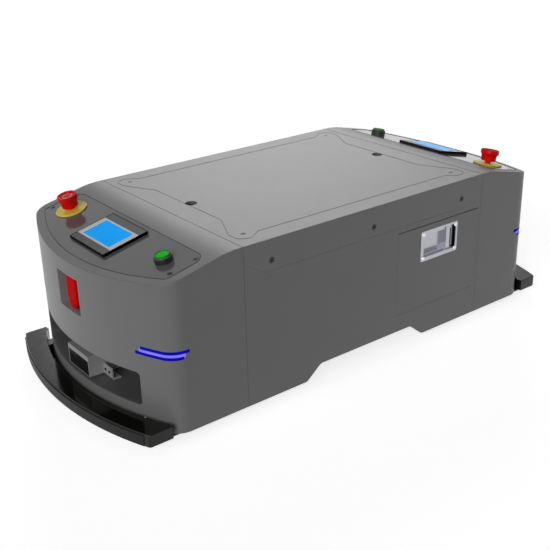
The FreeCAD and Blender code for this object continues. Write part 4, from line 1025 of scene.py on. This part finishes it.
class Casing(Assembly):
    """Nose shells, side panels, deck cover and deck plate, with the seals between them."""

    title = "casing"
    sizes = CasingSizes()

    def finishes(self) -> dict[str, Finish | Glow]:
        """Finish of each node.

        Returns:
            The finishes by the nodes' names.
        """
        found: dict[str, Finish | Glow] = {name: Paint.CASING for name in (
            "front_shell", "rear_shell", "left_side_panel", "right_side_panel",
            "battery_drawer")}
        found |= {"deck_cover": Paint.DECK, "deck_plate": Paint.DECK,
                  "casing_screws": Metal.SCREW, "side_screws": Metal.SCREW}
        return found

    def make(self) -> None:
        """Lays the seals."""
        s = self.sizes
        plate = rim(self.nodes["deck_plate"], Vector((0, 0, 1)), s.plate_outset)
        self.bead.draw("deck_plate_seal", [(plate, True)], s.plate_seam, Plastic.SEAL,
                       "chassis", "black_plastic")
        low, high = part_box("battery_drawer")
        line = [Vector((s.side - s.door_sink, y, high.z + s.door_lift)) for y in (low.y, high.y)]
        self.bead.draw("door_line", [(line, False)], s.door_line, Plastic.SEAL, "chassis",
                       "black_plastic", s.door_depth)
        paths = []
        for end in End:
            paths.append(([end.turn @ Vector((x * s.side, -s.nose_seam_y, s.deck))
                           for x in (-1, 1)], False))
        self.bead.draw("nose_seals", paths, s.nose_seam, Plastic.SEAL, "chassis",
                       "black_plastic")


@dataclass(frozen=True)
class ControlSizes:
    """Sizes of the controls on the slopes.

    The turned profiles are (radius, height over the slope), in millimetres.
    """

    x: float = 165 * MM
    distance: float = 78.6 * MM
    seam: float = 1.3 * MM
    seam_outset: float = 0.4 * MM
    screen: tuple[float, float] = (119 * MM, 58 * MM)
    screen_middle: float = 90.6 * MM
    screen_rise: float = 5.5 * MM
    side_border: float = 13 * MM
    end_border: float = 4.5 * MM
    glass: float = 0.4 * MM
    glass_round: float = 1.0 * MM
    glass_bevel: float = 0.1 * MM
    housing: tuple[float, float] = (122 * MM, 91.4 * MM)
    housing_middle: float = 89.8 * MM
    edge: float = 1.2 * MM
    edge_proud: float = 0.2 * MM
    edge_round: float = 0.5 * MM
    head: Profile = (
        (0.0, -2.0), (6.0, -2.0), (6.0, 7.5), (14.4, 7.5), (15.3, 8.1), (15.6, 9.5),
        (15.7, 15.0), (16.2, 18.5), (17.4, 21.4), (18.6, 22.6), (19.1, 23.6), (19.2, 29.4),
        (18.9, 30.5), (18.1, 31.2), (17.0, 31.2), (15.9, 30.4), (15.0, 29.0), (13.8, 28.4),
        (12.6, 28.2), (0.0, 28.2))
    head_sides: int = 56
    dish: float = 28.2 * MM
    marks: int = 3
    mark_radius: float = 8.8 * MM
    mark_width: float = 2.4 * MM
    mark_barb: float = 3.12 * MM
    mark_height: float = 0.7 * MM
    mark_sink: float = 0.1 * MM
    mark_turn: tuple[float, float, float] = (5.0, 75.0, 103.0)
    mark_steps: int = 10
    start_shade_ring: Profile = (
        (11.4, 11.2), (13.4, 11.2), (13.4, 12.6), (12.9, 13.2), (11.9, 13.2), (11.4, 12.5))
    start_sides: int = 48


class Controls(Assembly):
    """Control panel, display, stop and start buttons of both ends."""

    title = "controls"
    sizes = ControlSizes()
    slope = Slope()

    def finishes(self) -> dict[str, Finish | Glow]:
        """Finish of each node.

        Returns:
            The finishes by the nodes' names.
        """
        found: dict[str, Finish | Glow] = {}
        for end in End:
            found |= {f"{end.value}_control_panel": Plastic.PANEL,
                      f"{end.value}_display": Plastic.HOUSING,
                      f"{end.value}_display_screen": Plastic.WHITE,
                      f"{end.value}_stop_ring": Plastic.YELLOW,
                      f"{end.value}_start_bezel": Plastic.BLACK,
                      f"{end.value}_start_cap": Plastic.GREEN}
        return found

    def make(self) -> None:
        """Builds the panel seals, screens, stop heads and start rims, the rims a dark green of
        painted shade.
        """
        for end in End:
            self.panel_seal(end)
            self.screen(end)
            self.display_edges(end)
            self.stop_head(end)
            self.stop_arrows_and_highlight(end)
            self.start_shade_ring(end)

    def panel_seal(self, end: End) -> None:
        """Lays the seal round the control panel.

        Args:
            end: Which end.
        """
        s = self.sizes
        up = (self.slope.place(end, 0, 0).to_3x3() @ Vector((0, 0, 1))).normalized()
        edge = rim(self.nodes[f"{end.value}_control_panel"], up, s.seam_outset)
        self.bead.draw(f"{end.value}_panel_seal", [(edge, True)], s.seam, Plastic.SEAL,
                       "chassis", "black_plastic")

    def screen(self, end: End) -> None:
        """Sets the lit screen into its white border.

        Args:
            end: Which end.
        """
        s = self.sizes
        width, length = s.screen
        outline = round_rect(width - 2 * s.side_border, length - 2 * s.end_border,
                             s.glass_round)
        glass = prism(outline, 0.0, s.glass, s.glass_bevel)
        where = self.slope.place(end, 0, s.screen_middle, s.screen_rise)
        piece(f"{end.value}_screen_glass", moved(glass, where), Light.SCREEN, "chassis")

    def display_edges(self, end: End) -> None:
        """Frames the display's housing with four black edges.

        Args:
            end: Which end.
        """
        s = self.sizes
        across, along = s.housing
        spare = 2 * s.edge_proud
        edges = []
        for side in (-1, 1):
            for strip, x, y in (((s.edge, along + spare), side * (across - s.edge) / 2, 0.0),
                                ((across + spare, s.edge), 0.0, side * (along - s.edge) / 2)):
                bar = prism(round_rect(*strip, s.edge_round, 2), 0.0,
                            s.screen_rise + s.edge_proud, s.edge_proud)
                edges.append(moved(bar, self.slope.place(end, x, s.housing_middle + y)))
        piece(f"{end.value}_display_edges", joined(edges), Plastic.EDGE, "chassis")

    def stop_head(self, end: End) -> None:
        """Turns the mushroom head of the stop button: neck, flare, band and dished crown.

        Args:
            end: Which end.
        """
        s = self.sizes
        head = revolved(metres(s.head), s.head_sides)
        where = self.slope.place(end, -s.x, s.distance)
        made = piece(f"{end.value}_stop_mushroom", moved(head, where), Plastic.RED,
                     f"{end.value}_stop_button")
        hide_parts(f"{end.value}_stop_head")

    def stop_arrows_and_highlight(self, end: End) -> None:
        """Sets the turn arrows into the dish of the stop button's head; their pale pink is partly
        their own colour and partly a painted highlight.

        Args:
            end: Which end.
        """
        s = self.sizes
        start, barbs, tip = [math.radians(angle) for angle in s.mark_turn]
        arc = [start + (barbs - start) * k / s.mark_steps for k in range(s.mark_steps + 1)]
        middle, half = s.mark_radius, s.mark_width / 2
        arrow = [(middle + half, a) for a in arc]
        arrow += [(middle + s.mark_barb, barbs), (middle, tip), (middle - s.mark_barb, barbs)]
        arrow += [(middle - half, a) for a in reversed(arc)]
        mark = prism([(r * math.cos(a), r * math.sin(a)) for r, a in arrow], 0.0,
                     s.mark_height)
        where = self.slope.place(end, -s.x, s.distance, s.dish - s.mark_sink)
        places = [where @ Matrix.Rotation(2 * math.pi * k / s.marks, 4, "Z")
                  for k in range(s.marks)]
        self.stamp.set_out(f"{end.value}_stop_marks", mark, places, Plastic.MARK_AND_HIGHLIGHT,
                           f"{end.value}_stop_button", "red_plastic")

    def start_shade_ring(self, end: End) -> None:
        """Turns the dark rim round the start button's cap: a ring of painted shade for the cap's
        edge.

        Args:
            end: Which end.
        """
        s = self.sizes
        ring = ring_of(metres(s.start_shade_ring), s.start_sides)
        where = self.slope.place(end, s.x, s.distance)
        piece(f"{end.value}_start_rim", moved(ring, where), Plastic.GREEN_PAINTED_SHADE,
              f"{end.value}_start_button")


@dataclass(frozen=True)
class NoseSizes:
    """Sizes of what the noses carry.

    A box is two corners, in millimetres. A reach is how far forward something lies at the
    middle, and at the robot's full width.
    """

    radius: float = 497 * MM
    corner: float = 38 * MM
    half: float = 240 * MM
    nose_steps: int = 80
    corner_steps: int = 40
    side_steps: int = 20
    bow_steps: int = 48
    tip_steps: int = 6
    lamp_front_x: float = 157.6 * MM
    lamp_side_y: float = 20 * MM
    lamp_line: float = 7.4 * MM
    lamp_depth: float = 1.4 * MM
    lamp_sink: float = 0.4 * MM
    lamp_lines: tuple[tuple[float, float, float], ...] = (
        (161.0 * MM, 9 * MM, 24.5 * MM), (170.9 * MM, 21 * MM, 13.5 * MM))
    glow_past: float = 3 * MM
    glow_sink: float = 0.3 * MM
    bar_bottom: float = 20 * MM
    bar_top: float = 44 * MM
    bar_gap: float = 9.5 * MM
    bar_inner: float = 229 * MM
    bar_reach: tuple[float, float] = (541 * MM, 493 * MM)
    bar_corner: float = 6 * MM
    bar_bevel: float = 1.5 * MM
    lip_back: float = 24 * MM
    lip_bottom: float = 16 * MM
    lip_top: float = 19.5 * MM
    arm_x: float = 185 * MM
    arm: Box = ((-10, -496, 24), (10, -394, 36))
    arm_bevel: float = 1.0
    strip_reach: tuple[float, float] = (543 * MM, 495 * MM)
    strip_half: float = 230 * MM
    strip_depth: float = 5 * MM
    strip_corner: float = 2 * MM
    strip_bottom: float = 21 * MM
    strip_top: float = 41 * MM
    strip_bevel: float = 1.2 * MM
    scanner_low: Point = (-38.5 * MM, -493 * MM, 64 * MM)
    scanner_high: Point = (38.5 * MM, -409 * MM, 104 * MM)
    scanner_bevel: float = 0.6 * MM
    scanner_foot: Box = ((-32.5, -477, 60), (32.5, -413, 64.5))
    scanner_back: Box = ((-38, -417, 60), (38, -401.5, 88))
    scanner_back_bevel: float = 0.5
    window: tuple[float, float, float, float] = (-37 * MM, 37.5 * MM, 65 * MM, 95 * MM)
    window_depth: float = 4 * MM
    pane_overlap: float = 0.2 * MM
    pane_depth: float = 3.4 * MM
    pane_bevel: float = 0.3 * MM
    bracket_plate: Box = ((38, -464, 64), (68, -461, 84))
    bracket_foot: Box = ((38, -461.2, 60), (68, -446, 63))
    bracket_bevel: float = 0.4
    bracket_screw: Fastener = Fastener(5.0 * MM, 2.0 * MM, 2.5 * MM)
    bracket_screw_sides: int = 16
    bracket_screws: tuple[Point, ...] = (
        (46 * MM, -464 * MM, 74 * MM), (60 * MM, -464 * MM, 74 * MM))


class Noses(Assembly):
    """Corner lamps, scanners with their bays, the isolator and the bumpers."""

    title = "noses"
    sizes = NoseSizes()
    upright = Matrix.Rotation(math.pi / 2, 4, "X")

    def finishes(self) -> dict[str, Finish | Glow]:
        """Finish of each node.

        Returns:
            The finishes by the nodes' names.
        """
        # The isolator's recess gets a grey with painted light in it.
        found: dict[str, Finish | Glow] = {
            "corner_lamps": Paint.CASING, "isolator_recess": Paint.RECESS_PAINTED_LIGHT,
            "isolator_knob": Plastic.HANDLE, "bumper_guides": Plastic.BLACK}
        for end in End:
            # The bays' darker grey is painted shade.
            found[f"{end.value}_scanner_bay"] = Paint.BAY_PAINTED_SHADE
        return found

    def make(self) -> None:
        """Builds the lamp lines, bumpers, scanners and their brackets."""
        self.lamp_lines()
        for end in End:
            self.bumper_bow(end)
            self.bumper_strip(end)
            self.scanner_housing(end)
            self.scanner_pane(end)
            self.scanner_bracket(end)

    def plan(self, gap: float, run: float = 0.0) -> list[Vector]:
        """Right half of the nose's plan, from the middle round the corner to the side.

        Args:
            gap: Distance outside the casing.
            run: Length of the straight side that is added.

        Returns:
            The points, at height 0.
        """
        s = self.sizes
        inner = s.radius - s.corner
        cx = s.half - s.corner
        cy = -math.sqrt(inner ** 2 - cx ** 2)
        turn = math.asin(cx / inner)
        reach, bend = s.radius + gap, s.corner + gap
        points = []
        for k in range(s.nose_steps):
            angle = turn * k / s.nose_steps
            points.append(Vector((reach * math.sin(angle), -reach * math.cos(angle), 0)))
        for k in range(s.corner_steps + 1):
            angle = turn + (math.pi / 2 - turn) * k / s.corner_steps
            points.append(Vector((cx + bend * math.sin(angle), cy - bend * math.cos(angle), 0)))
        return points + [Vector((s.half + gap, cy + run * k / s.side_steps, 0))
                         for k in range(1, s.side_steps + 1)]

    def lamp_arcs(self, z: float, first: float, last: float) -> (
            list[tuple[list[Vector], bool]]):
        """Level arcs round the four corners.

        Args:
            z: Their height.
            first: Length that each stays short of the lamp's end at the nose.
            last: Length that it stays short of the lamp's end at the side.

        Returns:
            The points of each arc, and that it is open.
        """
        s = self.sizes
        path = [p for p in self.plan(-s.lamp_sink, s.lamp_side_y) if p.x >= s.lamp_front_x]
        lengths = [0.0]
        for a, b in zip(path, path[1:]):
            lengths.append(lengths[-1] + (b - a).length)
        arc = [p for p, run in zip(path, lengths) if first <= run <= lengths[-1] - last]
        return [([end.turn @ Vector((side * p.x, p.y, z)) for p in arc], False)
                for end in End for side in (1, -1)]

    def lamp_lines(self) -> None:
        """Draws the dark lines of each corner lamp and the glow between them."""
        s = self.sizes
        low, high = s.lamp_lines
        self.bead.draw("lamp_lines", self.lamp_arcs(*low) + self.lamp_arcs(*high),
                       s.lamp_line, Light.LINE, "chassis", "lamp_plastic", s.lamp_depth)
        between = self.lamp_arcs((low[0] + high[0]) / 2, high[1] - s.glow_past,
                                 low[2] - s.glow_past)
        self.bead.draw("lamp_glow", between, high[0] - low[0], Light.LAMP, "chassis",
                       "lamp_plastic", s.lamp_depth - s.glow_sink)

    def bow(self, reach: tuple[float, float], half: float, corner: float = 0.0) -> (
            list[tuple[float, float]]):
        """Bowed front edge of the bumper, from left to right.

        Args:
            reach: How far forward it lies at the middle, and at the robot's full width.
            half: Half its width.
            corner: Radius of its round ends.

        Returns:
            The points.
        """
        s = self.sizes
        sag = reach[0] - reach[1]
        radius = (s.half ** 2 + sag ** 2) / (2 * sag)
        lean = math.asin(s.half / radius)
        stop = half - corner * (1 - math.sin(lean))
        points = []
        for k in range(s.bow_steps + 1):
            x = stop * k / s.bow_steps
            points.append((x, radius - reach[0] - math.sqrt(radius ** 2 - x ** 2)))
        if corner:
            middle = (stop - corner * math.sin(lean), points[-1][1] + corner * math.cos(lean))
            for k in range(1, s.tip_steps + 1):
                angle = lean + (math.pi / 2 - lean) * k / s.tip_steps
                points.append((middle[0] + corner * math.sin(angle),
                               middle[1] - corner * math.cos(angle)))
        return both_sides(points)

    def bumper_bow(self, end: End) -> None:
        """Builds the gloss bar with its lower lip and arms.

        Args:
            end: Which end.
        """
        s = self.sizes
        inner = [(p.x, p.y - s.bar_gap) for p in self.plan(0.0) if p.x < s.bar_inner]
        inner = both_sides(inner + [(s.half, inner[-1][1])])
        front = self.bow(s.bar_reach, s.half, s.bar_corner)
        under = both_sides([(p.x, p.y) for p in self.plan(-s.bar_gap) if p.x < s.bar_inner])
        edge = [(x, y + s.lip_back) for x, y in self.bow(s.bar_reach, under[-1][0])]
        parts = [prism(front + inner[::-1], s.bar_bottom, s.bar_top, s.bar_bevel),
                 prism(edge + under[::-1], s.lip_bottom, s.lip_top)]
        for side in (-1, 1):
            arm = block(*s.arm, s.arm_bevel)
            parts.append(moved(arm, Matrix.Translation((side * s.arm_x, 0, 0))))
        made = piece(f"{end.value}_bumper_bow", moved(joined(parts), end.turn),
                     Plastic.BAR, f"{end.value}_bumper_bar")
        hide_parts(f"{end.value}_bumper")

    def bumper_strip(self, end: End) -> None:
        """Lays the rubber strip along the bar's front.

        Args:
            end: Which end.
        """
        s = self.sizes
        front = self.bow(s.strip_reach, s.strip_half, s.strip_corner)
        back = [(x, y + s.strip_depth) for x, y in self.bow(s.strip_reach, s.strip_half)]
        strip = prism(front + back[::-1], s.strip_bottom, s.strip_top, s.strip_bevel)
        piece(f"{end.value}_bumper_strip", moved(strip, end.turn), Plastic.STRIP,
              f"{end.value}_bumper_bar")

    def scanner_housing(self, end: End) -> None:
        """Builds the crisp scanner housing with the pocket for its window.

        Args:
            end: Which end.
        """
        s = self.sizes
        parts = [niche(s.scanner_low, s.scanner_high, s.window, s.window_depth,
                       s.scanner_bevel),
                 block(*s.scanner_foot), block(*s.scanner_back, s.scanner_back_bevel)]
        # The housing's pale grey is partly painted light against the bay's shade.
        made = piece(f"{end.value}_scanner_housing", moved(joined(parts), end.turn),
                     Plastic.SCANNER_WITH_FILL, "chassis")
        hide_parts(f"{end.value}_scanner")

    def scanner_pane(self, end: End) -> None:
        """Sets the black pane into the pocket, a little past its walls and floor.

        Args:
            end: Which end.
        """
        s = self.sizes
        over = s.pane_overlap
        left, right, bottom, top = s.window
        pane = prism([(left - over, bottom - over), (right + over, bottom - over),
                      (right + over, top + over), (left - over, top + over)],
                     0.0, s.pane_depth, s.pane_bevel)
        seat = Matrix.Translation((0, s.scanner_low[1] + s.window_depth + over, 0))
        made = piece(f"{end.value}_scanner_pane", moved(pane, end.turn @ seat @ self.upright),
                     Plastic.PANE, "chassis")
        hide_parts(f"{end.value}_scanner_window")

    def scanner_bracket(self, end: End) -> None:
        """Builds the bent bracket beside the scanner, with its screws.

        Args:
            end: Which end.
        """
        s = self.sizes
        parts = [block(*s.bracket_plate, s.bracket_bevel),
                 block(*s.bracket_foot, s.bracket_bevel)]
        # The bracket shares the scanner's pale grey, partly painted light.
        piece(f"{end.value}_scanner_bracket", moved(joined(parts), end.turn),
              Plastic.SCANNER_WITH_FILL, "chassis")
        places = [end.turn @ Matrix.Translation(where) @ self.upright
                  for where in s.bracket_screws]
        self.stamp.set_out(f"{end.value}_bracket_screws",
                           s.bracket_screw.shape(s.bracket_screw_sides), places,
                           Metal.SCREW, "chassis", "screw_steel")


@dataclass(frozen=True)
class DrawerSizes:
    """Sizes of the drawer's handle screws and the battery's caps and ribs."""

    screw: Fastener = Fastener(7.5 * MM, 2.2 * MM, 3 * MM)
    screw_inset: float = 6.5 * MM
    screw_sink: float = 0.6 * MM
    cap: Fastener = Fastener(22 * MM, 1.6 * MM)
    cap_sides: int = 32
    cap_rows: tuple[float, ...] = (0.3, 0.7)
    caps: int = 3
    rib: tuple[float, float, float] = (3 * MM, 1.6 * MM, 0.6 * MM)
    rib_bevel: float = 0.4 * MM
    rib_pitch: float = 14 * MM
    rib_foot: float = 20 * MM
    rib_head: float = 14 * MM


class Drawer(Assembly):
    """Battery drawer with its handle, battery and runners."""

    title = "drawer"
    sizes = DrawerSizes()

    def finishes(self) -> dict[str, Finish | Glow]:
        """Finish of each node."""
        return {"drawer_handle": Metal.CHROME, "battery_pack": Plastic.BATTERY,
                "drawer_runners": Metal.ZINC}

    def make(self) -> None:
        """Sets the handle's corner screws and the battery's caps and ribs."""
        s = self.sizes
        low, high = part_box("drawer_handle")
        outward = Matrix.Rotation(math.pi / 2, 4, "Y")
        places = [Matrix.Translation((high.x - s.screw_sink, y, z)) @ outward
                  for y in (low.y + s.screw_inset, high.y - s.screw_inset)
                  for z in (low.z + s.screw_inset, high.z - s.screw_inset)]
        self.stamp.set_out("handle_screws", s.screw.shape(), places, Metal.BRIGHT, "drawer",
                           "chrome_plate")
        low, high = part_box("battery_pack")
        size = high - low
        places = [Matrix.Translation((low.x + size.x * row,
                                      low.y + size.y * (k + 0.5) / s.caps, high.z))
                  for row in s.cap_rows for k in range(s.caps)]
        self.stamp.set_out("battery_caps", s.cap.shape(s.cap_sides), places, Plastic.BLACK,
                           "drawer", "black_plastic")
        rib = prism(round_rect(*s.rib, 3), low.z + s.rib_foot, high.z - s.rib_head,
                    s.rib_bevel)
        count = int((size.x - 2 * s.rib_pitch) / s.rib_pitch)
        places = [Matrix.Translation((low.x + s.rib_pitch * (1.5 + k), y, 0))
                  for y in (low.y, high.y) for k in range(count)]
        self.stamp.set_out("battery_ribs", rib, places, Plastic.BATTERY, "drawer",
                           "battery_case")


@dataclass(frozen=True)
class RunningSizes:
    """Sizes of the wheels' bolts and nuts; the nut's profile is in millimetres."""

    bolt: Fastener = Fastener(11 * MM, 5 * MM, 6 * MM)
    bolts: int = 6
    bolt_circle: float = 36 * MM
    web_x: float = 126 * MM
    nut: Profile = ((0.0, -0.2), (5.5, -0.2), (5.5, 2.6), (4.6, 3.2), (0.0, 3.2))
    nut_flats: tuple[int, int] = (1, 2)
    axle_height: float = 25 * MM
    leg_x: tuple[float, float] = (132 * MM, 168 * MM)


class Running(Assembly):
    """Frame, casters, drive unit and what hangs under the robot."""

    title = "running gear"
    sizes = RunningSizes()

    def finishes(self) -> dict[str, Finish | Glow]:
        """Finish of each node.

        Returns:
            The finishes by the nodes' names.
        """
        found: dict[str, Finish | Glow] = {
            "chassis_frame": Paint.FRAME, "caster_plates": Metal.ZINC,
            "drive_cradle": Paint.FRAME, "guide_posts": Metal.ZINC,
            "suspension_springs": Metal.ZINC, "controller_box": Metal.CAST,
            "guide_sensors": Plastic.BLACK, "pin_lifts": Metal.CAST,
            "front_tow_pin": Metal.SCREW, "rear_tow_pin": Metal.SCREW}
        for side in ("left", "right"):
            found |= {f"{side}_gearmotor": Metal.CAST, f"{side}_drive_wheel": Plastic.TREAD}
            for end in End:
                found |= {f"{end.value}_{side}_caster_fork": Metal.ZINC,
                          f"{end.value}_{side}_caster_wheel": Plastic.TREAD}
        return found

    def make(self) -> None:
        """Sets the hub bolts of the drive wheels and the axle nuts of the casters."""
        for side, sign in (("left", -1), ("right", 1)):
            self.hub_bolts(side, sign)
            for end in End:
                self.axle_nuts(end, side, sign)

    def hub_bolts(self, side: str, sign: int) -> None:
        """Sets the bolts round the web of a drive wheel.

        Args:
            side: Name of the wheel's side.
            sign: 1 on the right and -1 on the left.
        """
        s = self.sizes
        hub = (Matrix.Translation((sign * s.web_x, 0, centre(f"{side}_drive_wheel").z))
               @ Matrix.Rotation(sign * math.pi / 2, 4, "Y"))
        places = [hub @ Matrix.Rotation(2 * math.pi * k / s.bolts, 4, "Z")
                  @ Matrix.Translation((s.bolt_circle, 0, 0)) for k in range(s.bolts)]
        self.stamp.set_out(f"{side}_hub_bolts", s.bolt.shape(), places, Metal.SCREW,
                           f"{side}_wheel", "screw_steel")

    def axle_nuts(self, end: End, side: str, sign: int) -> None:
        """Sets a nut on each leg of a caster's fork.

        Args:
            end: Which end.
            side: Name of the caster's side.
            sign: 1 on the right and -1 on the left.
        """
        s = self.sizes
        y = centre(f"{end.value}_{side}_caster_wheel").y
        places = [Matrix.Translation((sign * x, y, s.axle_height))
                  @ Matrix.Rotation(turn * math.pi / 2, 4, "Y")
                  for x, turn in zip(s.leg_x, (-sign, sign))]
        nut = revolved(metres(s.nut), hexagon=s.nut_flats)
        self.stamp.set_out(f"{end.value}_{side}_axle_nuts", nut, places, Metal.ZINC,
                           f"{end.value}_{side}_swivel", "bright_steel")


# ---------------------------------------------------------------- studio

def seen_share(tree: bpy.types.NodeTree) -> bpy.types.NodeSocket:
    """Tells rays by which a surface is seen from those that only light something.

    Args:
        tree: The node tree to add it to.

    Returns:
        A socket: 1 for the camera's rays, reflections and what glass lets through, else 0.
    """
    path = tree.nodes.new("ShaderNodeLightPath")
    share = path.outputs["Is Camera Ray"]
    for ray in ("Is Glossy Ray", "Is Transmission Ray"):
        larger = tree.nodes.new("ShaderNodeMath")
        larger.operation = "MAXIMUM"
        tree.links.new(share, larger.inputs[0])
        tree.links.new(path.outputs[ray], larger.inputs[1])
        share = larger.outputs[0]
    return share


@dataclass(frozen=True)
class Studio:
    """Floor, background, lamps and camera.

    A lamp is its name, strength, width in degrees and the direction it shines from.
    """

    lens: float = 60.28
    sensor: float = 36.0
    view_end: float = 100.0
    eye: Point = (1.37115, -1.09328, 0.87549)
    azimuth: float = 52.617
    elevation: float = 23.622
    roll: float = -1.465
    sky: float = 0.10
    lamps: tuple[tuple[str, float, float, Point], ...] = (
        ("back_softbox", 0.44, 28.0, (-0.728, 0.556, 0.40)),
        ("front_fill", 0.40, 50.0, (0.15, -0.90, 0.30)),
        ("right_key", 1.0, 40.0, (0.55, -0.72, 0.35)))
    floor_size: float = 30.0
    floor_seen: Colour = (0.95, 0.95, 0.95)
    floor_bounce: Colour = (0.35, 0.35, 0.35)
    floor_glow: float = 0.75
    floor_roughness: float = 0.9
    floor_specular: float = 0.1

    def build(self) -> None:
        """Builds all of it."""
        self.world()
        self.floor()
        self.light()
        self.camera()
        bpy.context.scene.view_settings.view_transform = "Standard"

    def world(self) -> None:
        """Even light from all round, seen as white."""
        world = bpy.data.worlds.new("studio")
        bpy.context.scene.world = world
        world.use_nodes = True
        tree = world.node_tree
        tree.nodes.clear()
        strength = tree.nodes.new("ShaderNodeMapRange")
        strength.inputs["To Min"].default_value = self.sky
        strength.inputs["To Max"].default_value = 1.0
        tree.links.new(seen_share(tree), strength.inputs["Value"])
        sky = tree.nodes.new("ShaderNodeBackground")
        tree.links.new(strength.outputs[0], sky.inputs["Strength"])
        output = tree.nodes.new("ShaderNodeOutputWorld")
        tree.links.new(sky.outputs[0], output.inputs[0])

    def floor(self) -> None:
        """A plain pale floor that keeps the robot's shadow."""
        bm = bmesh.new()
        bmesh.ops.create_grid(bm, x_segments=1, y_segments=1, size=self.floor_size / 2)
        mesh = bpy.data.meshes.new("floor")
        bm.to_mesh(mesh)
        bm.free()
        graph = Graph("floor_paint")
        inputs = graph.shader.inputs
        seen = seen_share(graph.tree)
        graph.link(graph.blend(seen, self.floor_bounce, self.floor_seen), inputs["Base Color"])
        graph.link(graph.blend(seen, (0.0, 0.0, 0.0), (1.0, 1.0, 1.0)),
                   inputs["Emission Color"])
        inputs["Emission Strength"].default_value = self.floor_glow
        inputs["Roughness"].default_value = self.floor_roughness
        inputs["Specular IOR Level"].default_value = self.floor_specular
        mesh.materials.append(graph.material)
        floor = bpy.data.objects.new("floor", mesh)
        bpy.context.scene.collection.objects.link(floor)

    def light(self) -> None:
        """Broad soft lamps: one from behind the left, a fill in front and a key at the right."""
        for name, energy, angle, source in self.lamps:
            data = bpy.data.lights.new(name, "SUN")
            data.energy = energy
            data.angle = math.radians(angle)
            lamp = bpy.data.objects.new(name, data)
            lamp.rotation_euler = Vector(source).to_track_quat("Z", "Y").to_euler()
            bpy.context.scene.collection.objects.link(lamp)

    def camera(self) -> None:
        """The camera at the robot's right front."""
        azimuth, elevation = math.radians(self.azimuth), math.radians(self.elevation)
        back = Vector((math.sin(azimuth) * math.cos(elevation),
                       -math.cos(azimuth) * math.cos(elevation), math.sin(elevation)))
        right = Vector((math.cos(azimuth), math.sin(azimuth), 0))
        up = back.cross(right)
        roll = math.radians(self.roll)
        across = right * math.cos(roll) + up * math.sin(roll)
        upward = up * math.cos(roll) - right * math.sin(roll)
        data = bpy.data.cameras.new("camera")
        data.lens = self.lens
        data.sensor_width = self.sensor
        data.clip_end = self.view_end
        camera = bpy.data.objects.new("camera", data)
        turn = Matrix((across, upward, back)).transposed().to_4x4()
        camera.matrix_world = Matrix.Translation(self.eye) @ turn
        bpy.context.scene.collection.objects.link(camera)
        bpy.context.scene.camera = camera


def corners(bounds: tuple[Vector, Vector]) -> list[list[float]]:
    """A box as plain lists of numbers."""
    return [list(bounds[0]), list(bounds[1])]


def main() -> None:
    """Builds the robot's looks round the frame."""
    logging.basicConfig(level=logging.INFO, format="%(name)s: %(message)s")
    for collection in (bpy.data.objects, bpy.data.meshes, bpy.data.materials):
        for item in list(collection):
            collection.remove(item)
    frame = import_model()
    stamp, bead = StampTree(), BeadTree()
    for assembly in (Casing, Controls, Noses, Drawer, Running):
        assembly(frame["nodes"], stamp, bead).build()
    Studio().build()


if __name__ == "__main__":
    main()
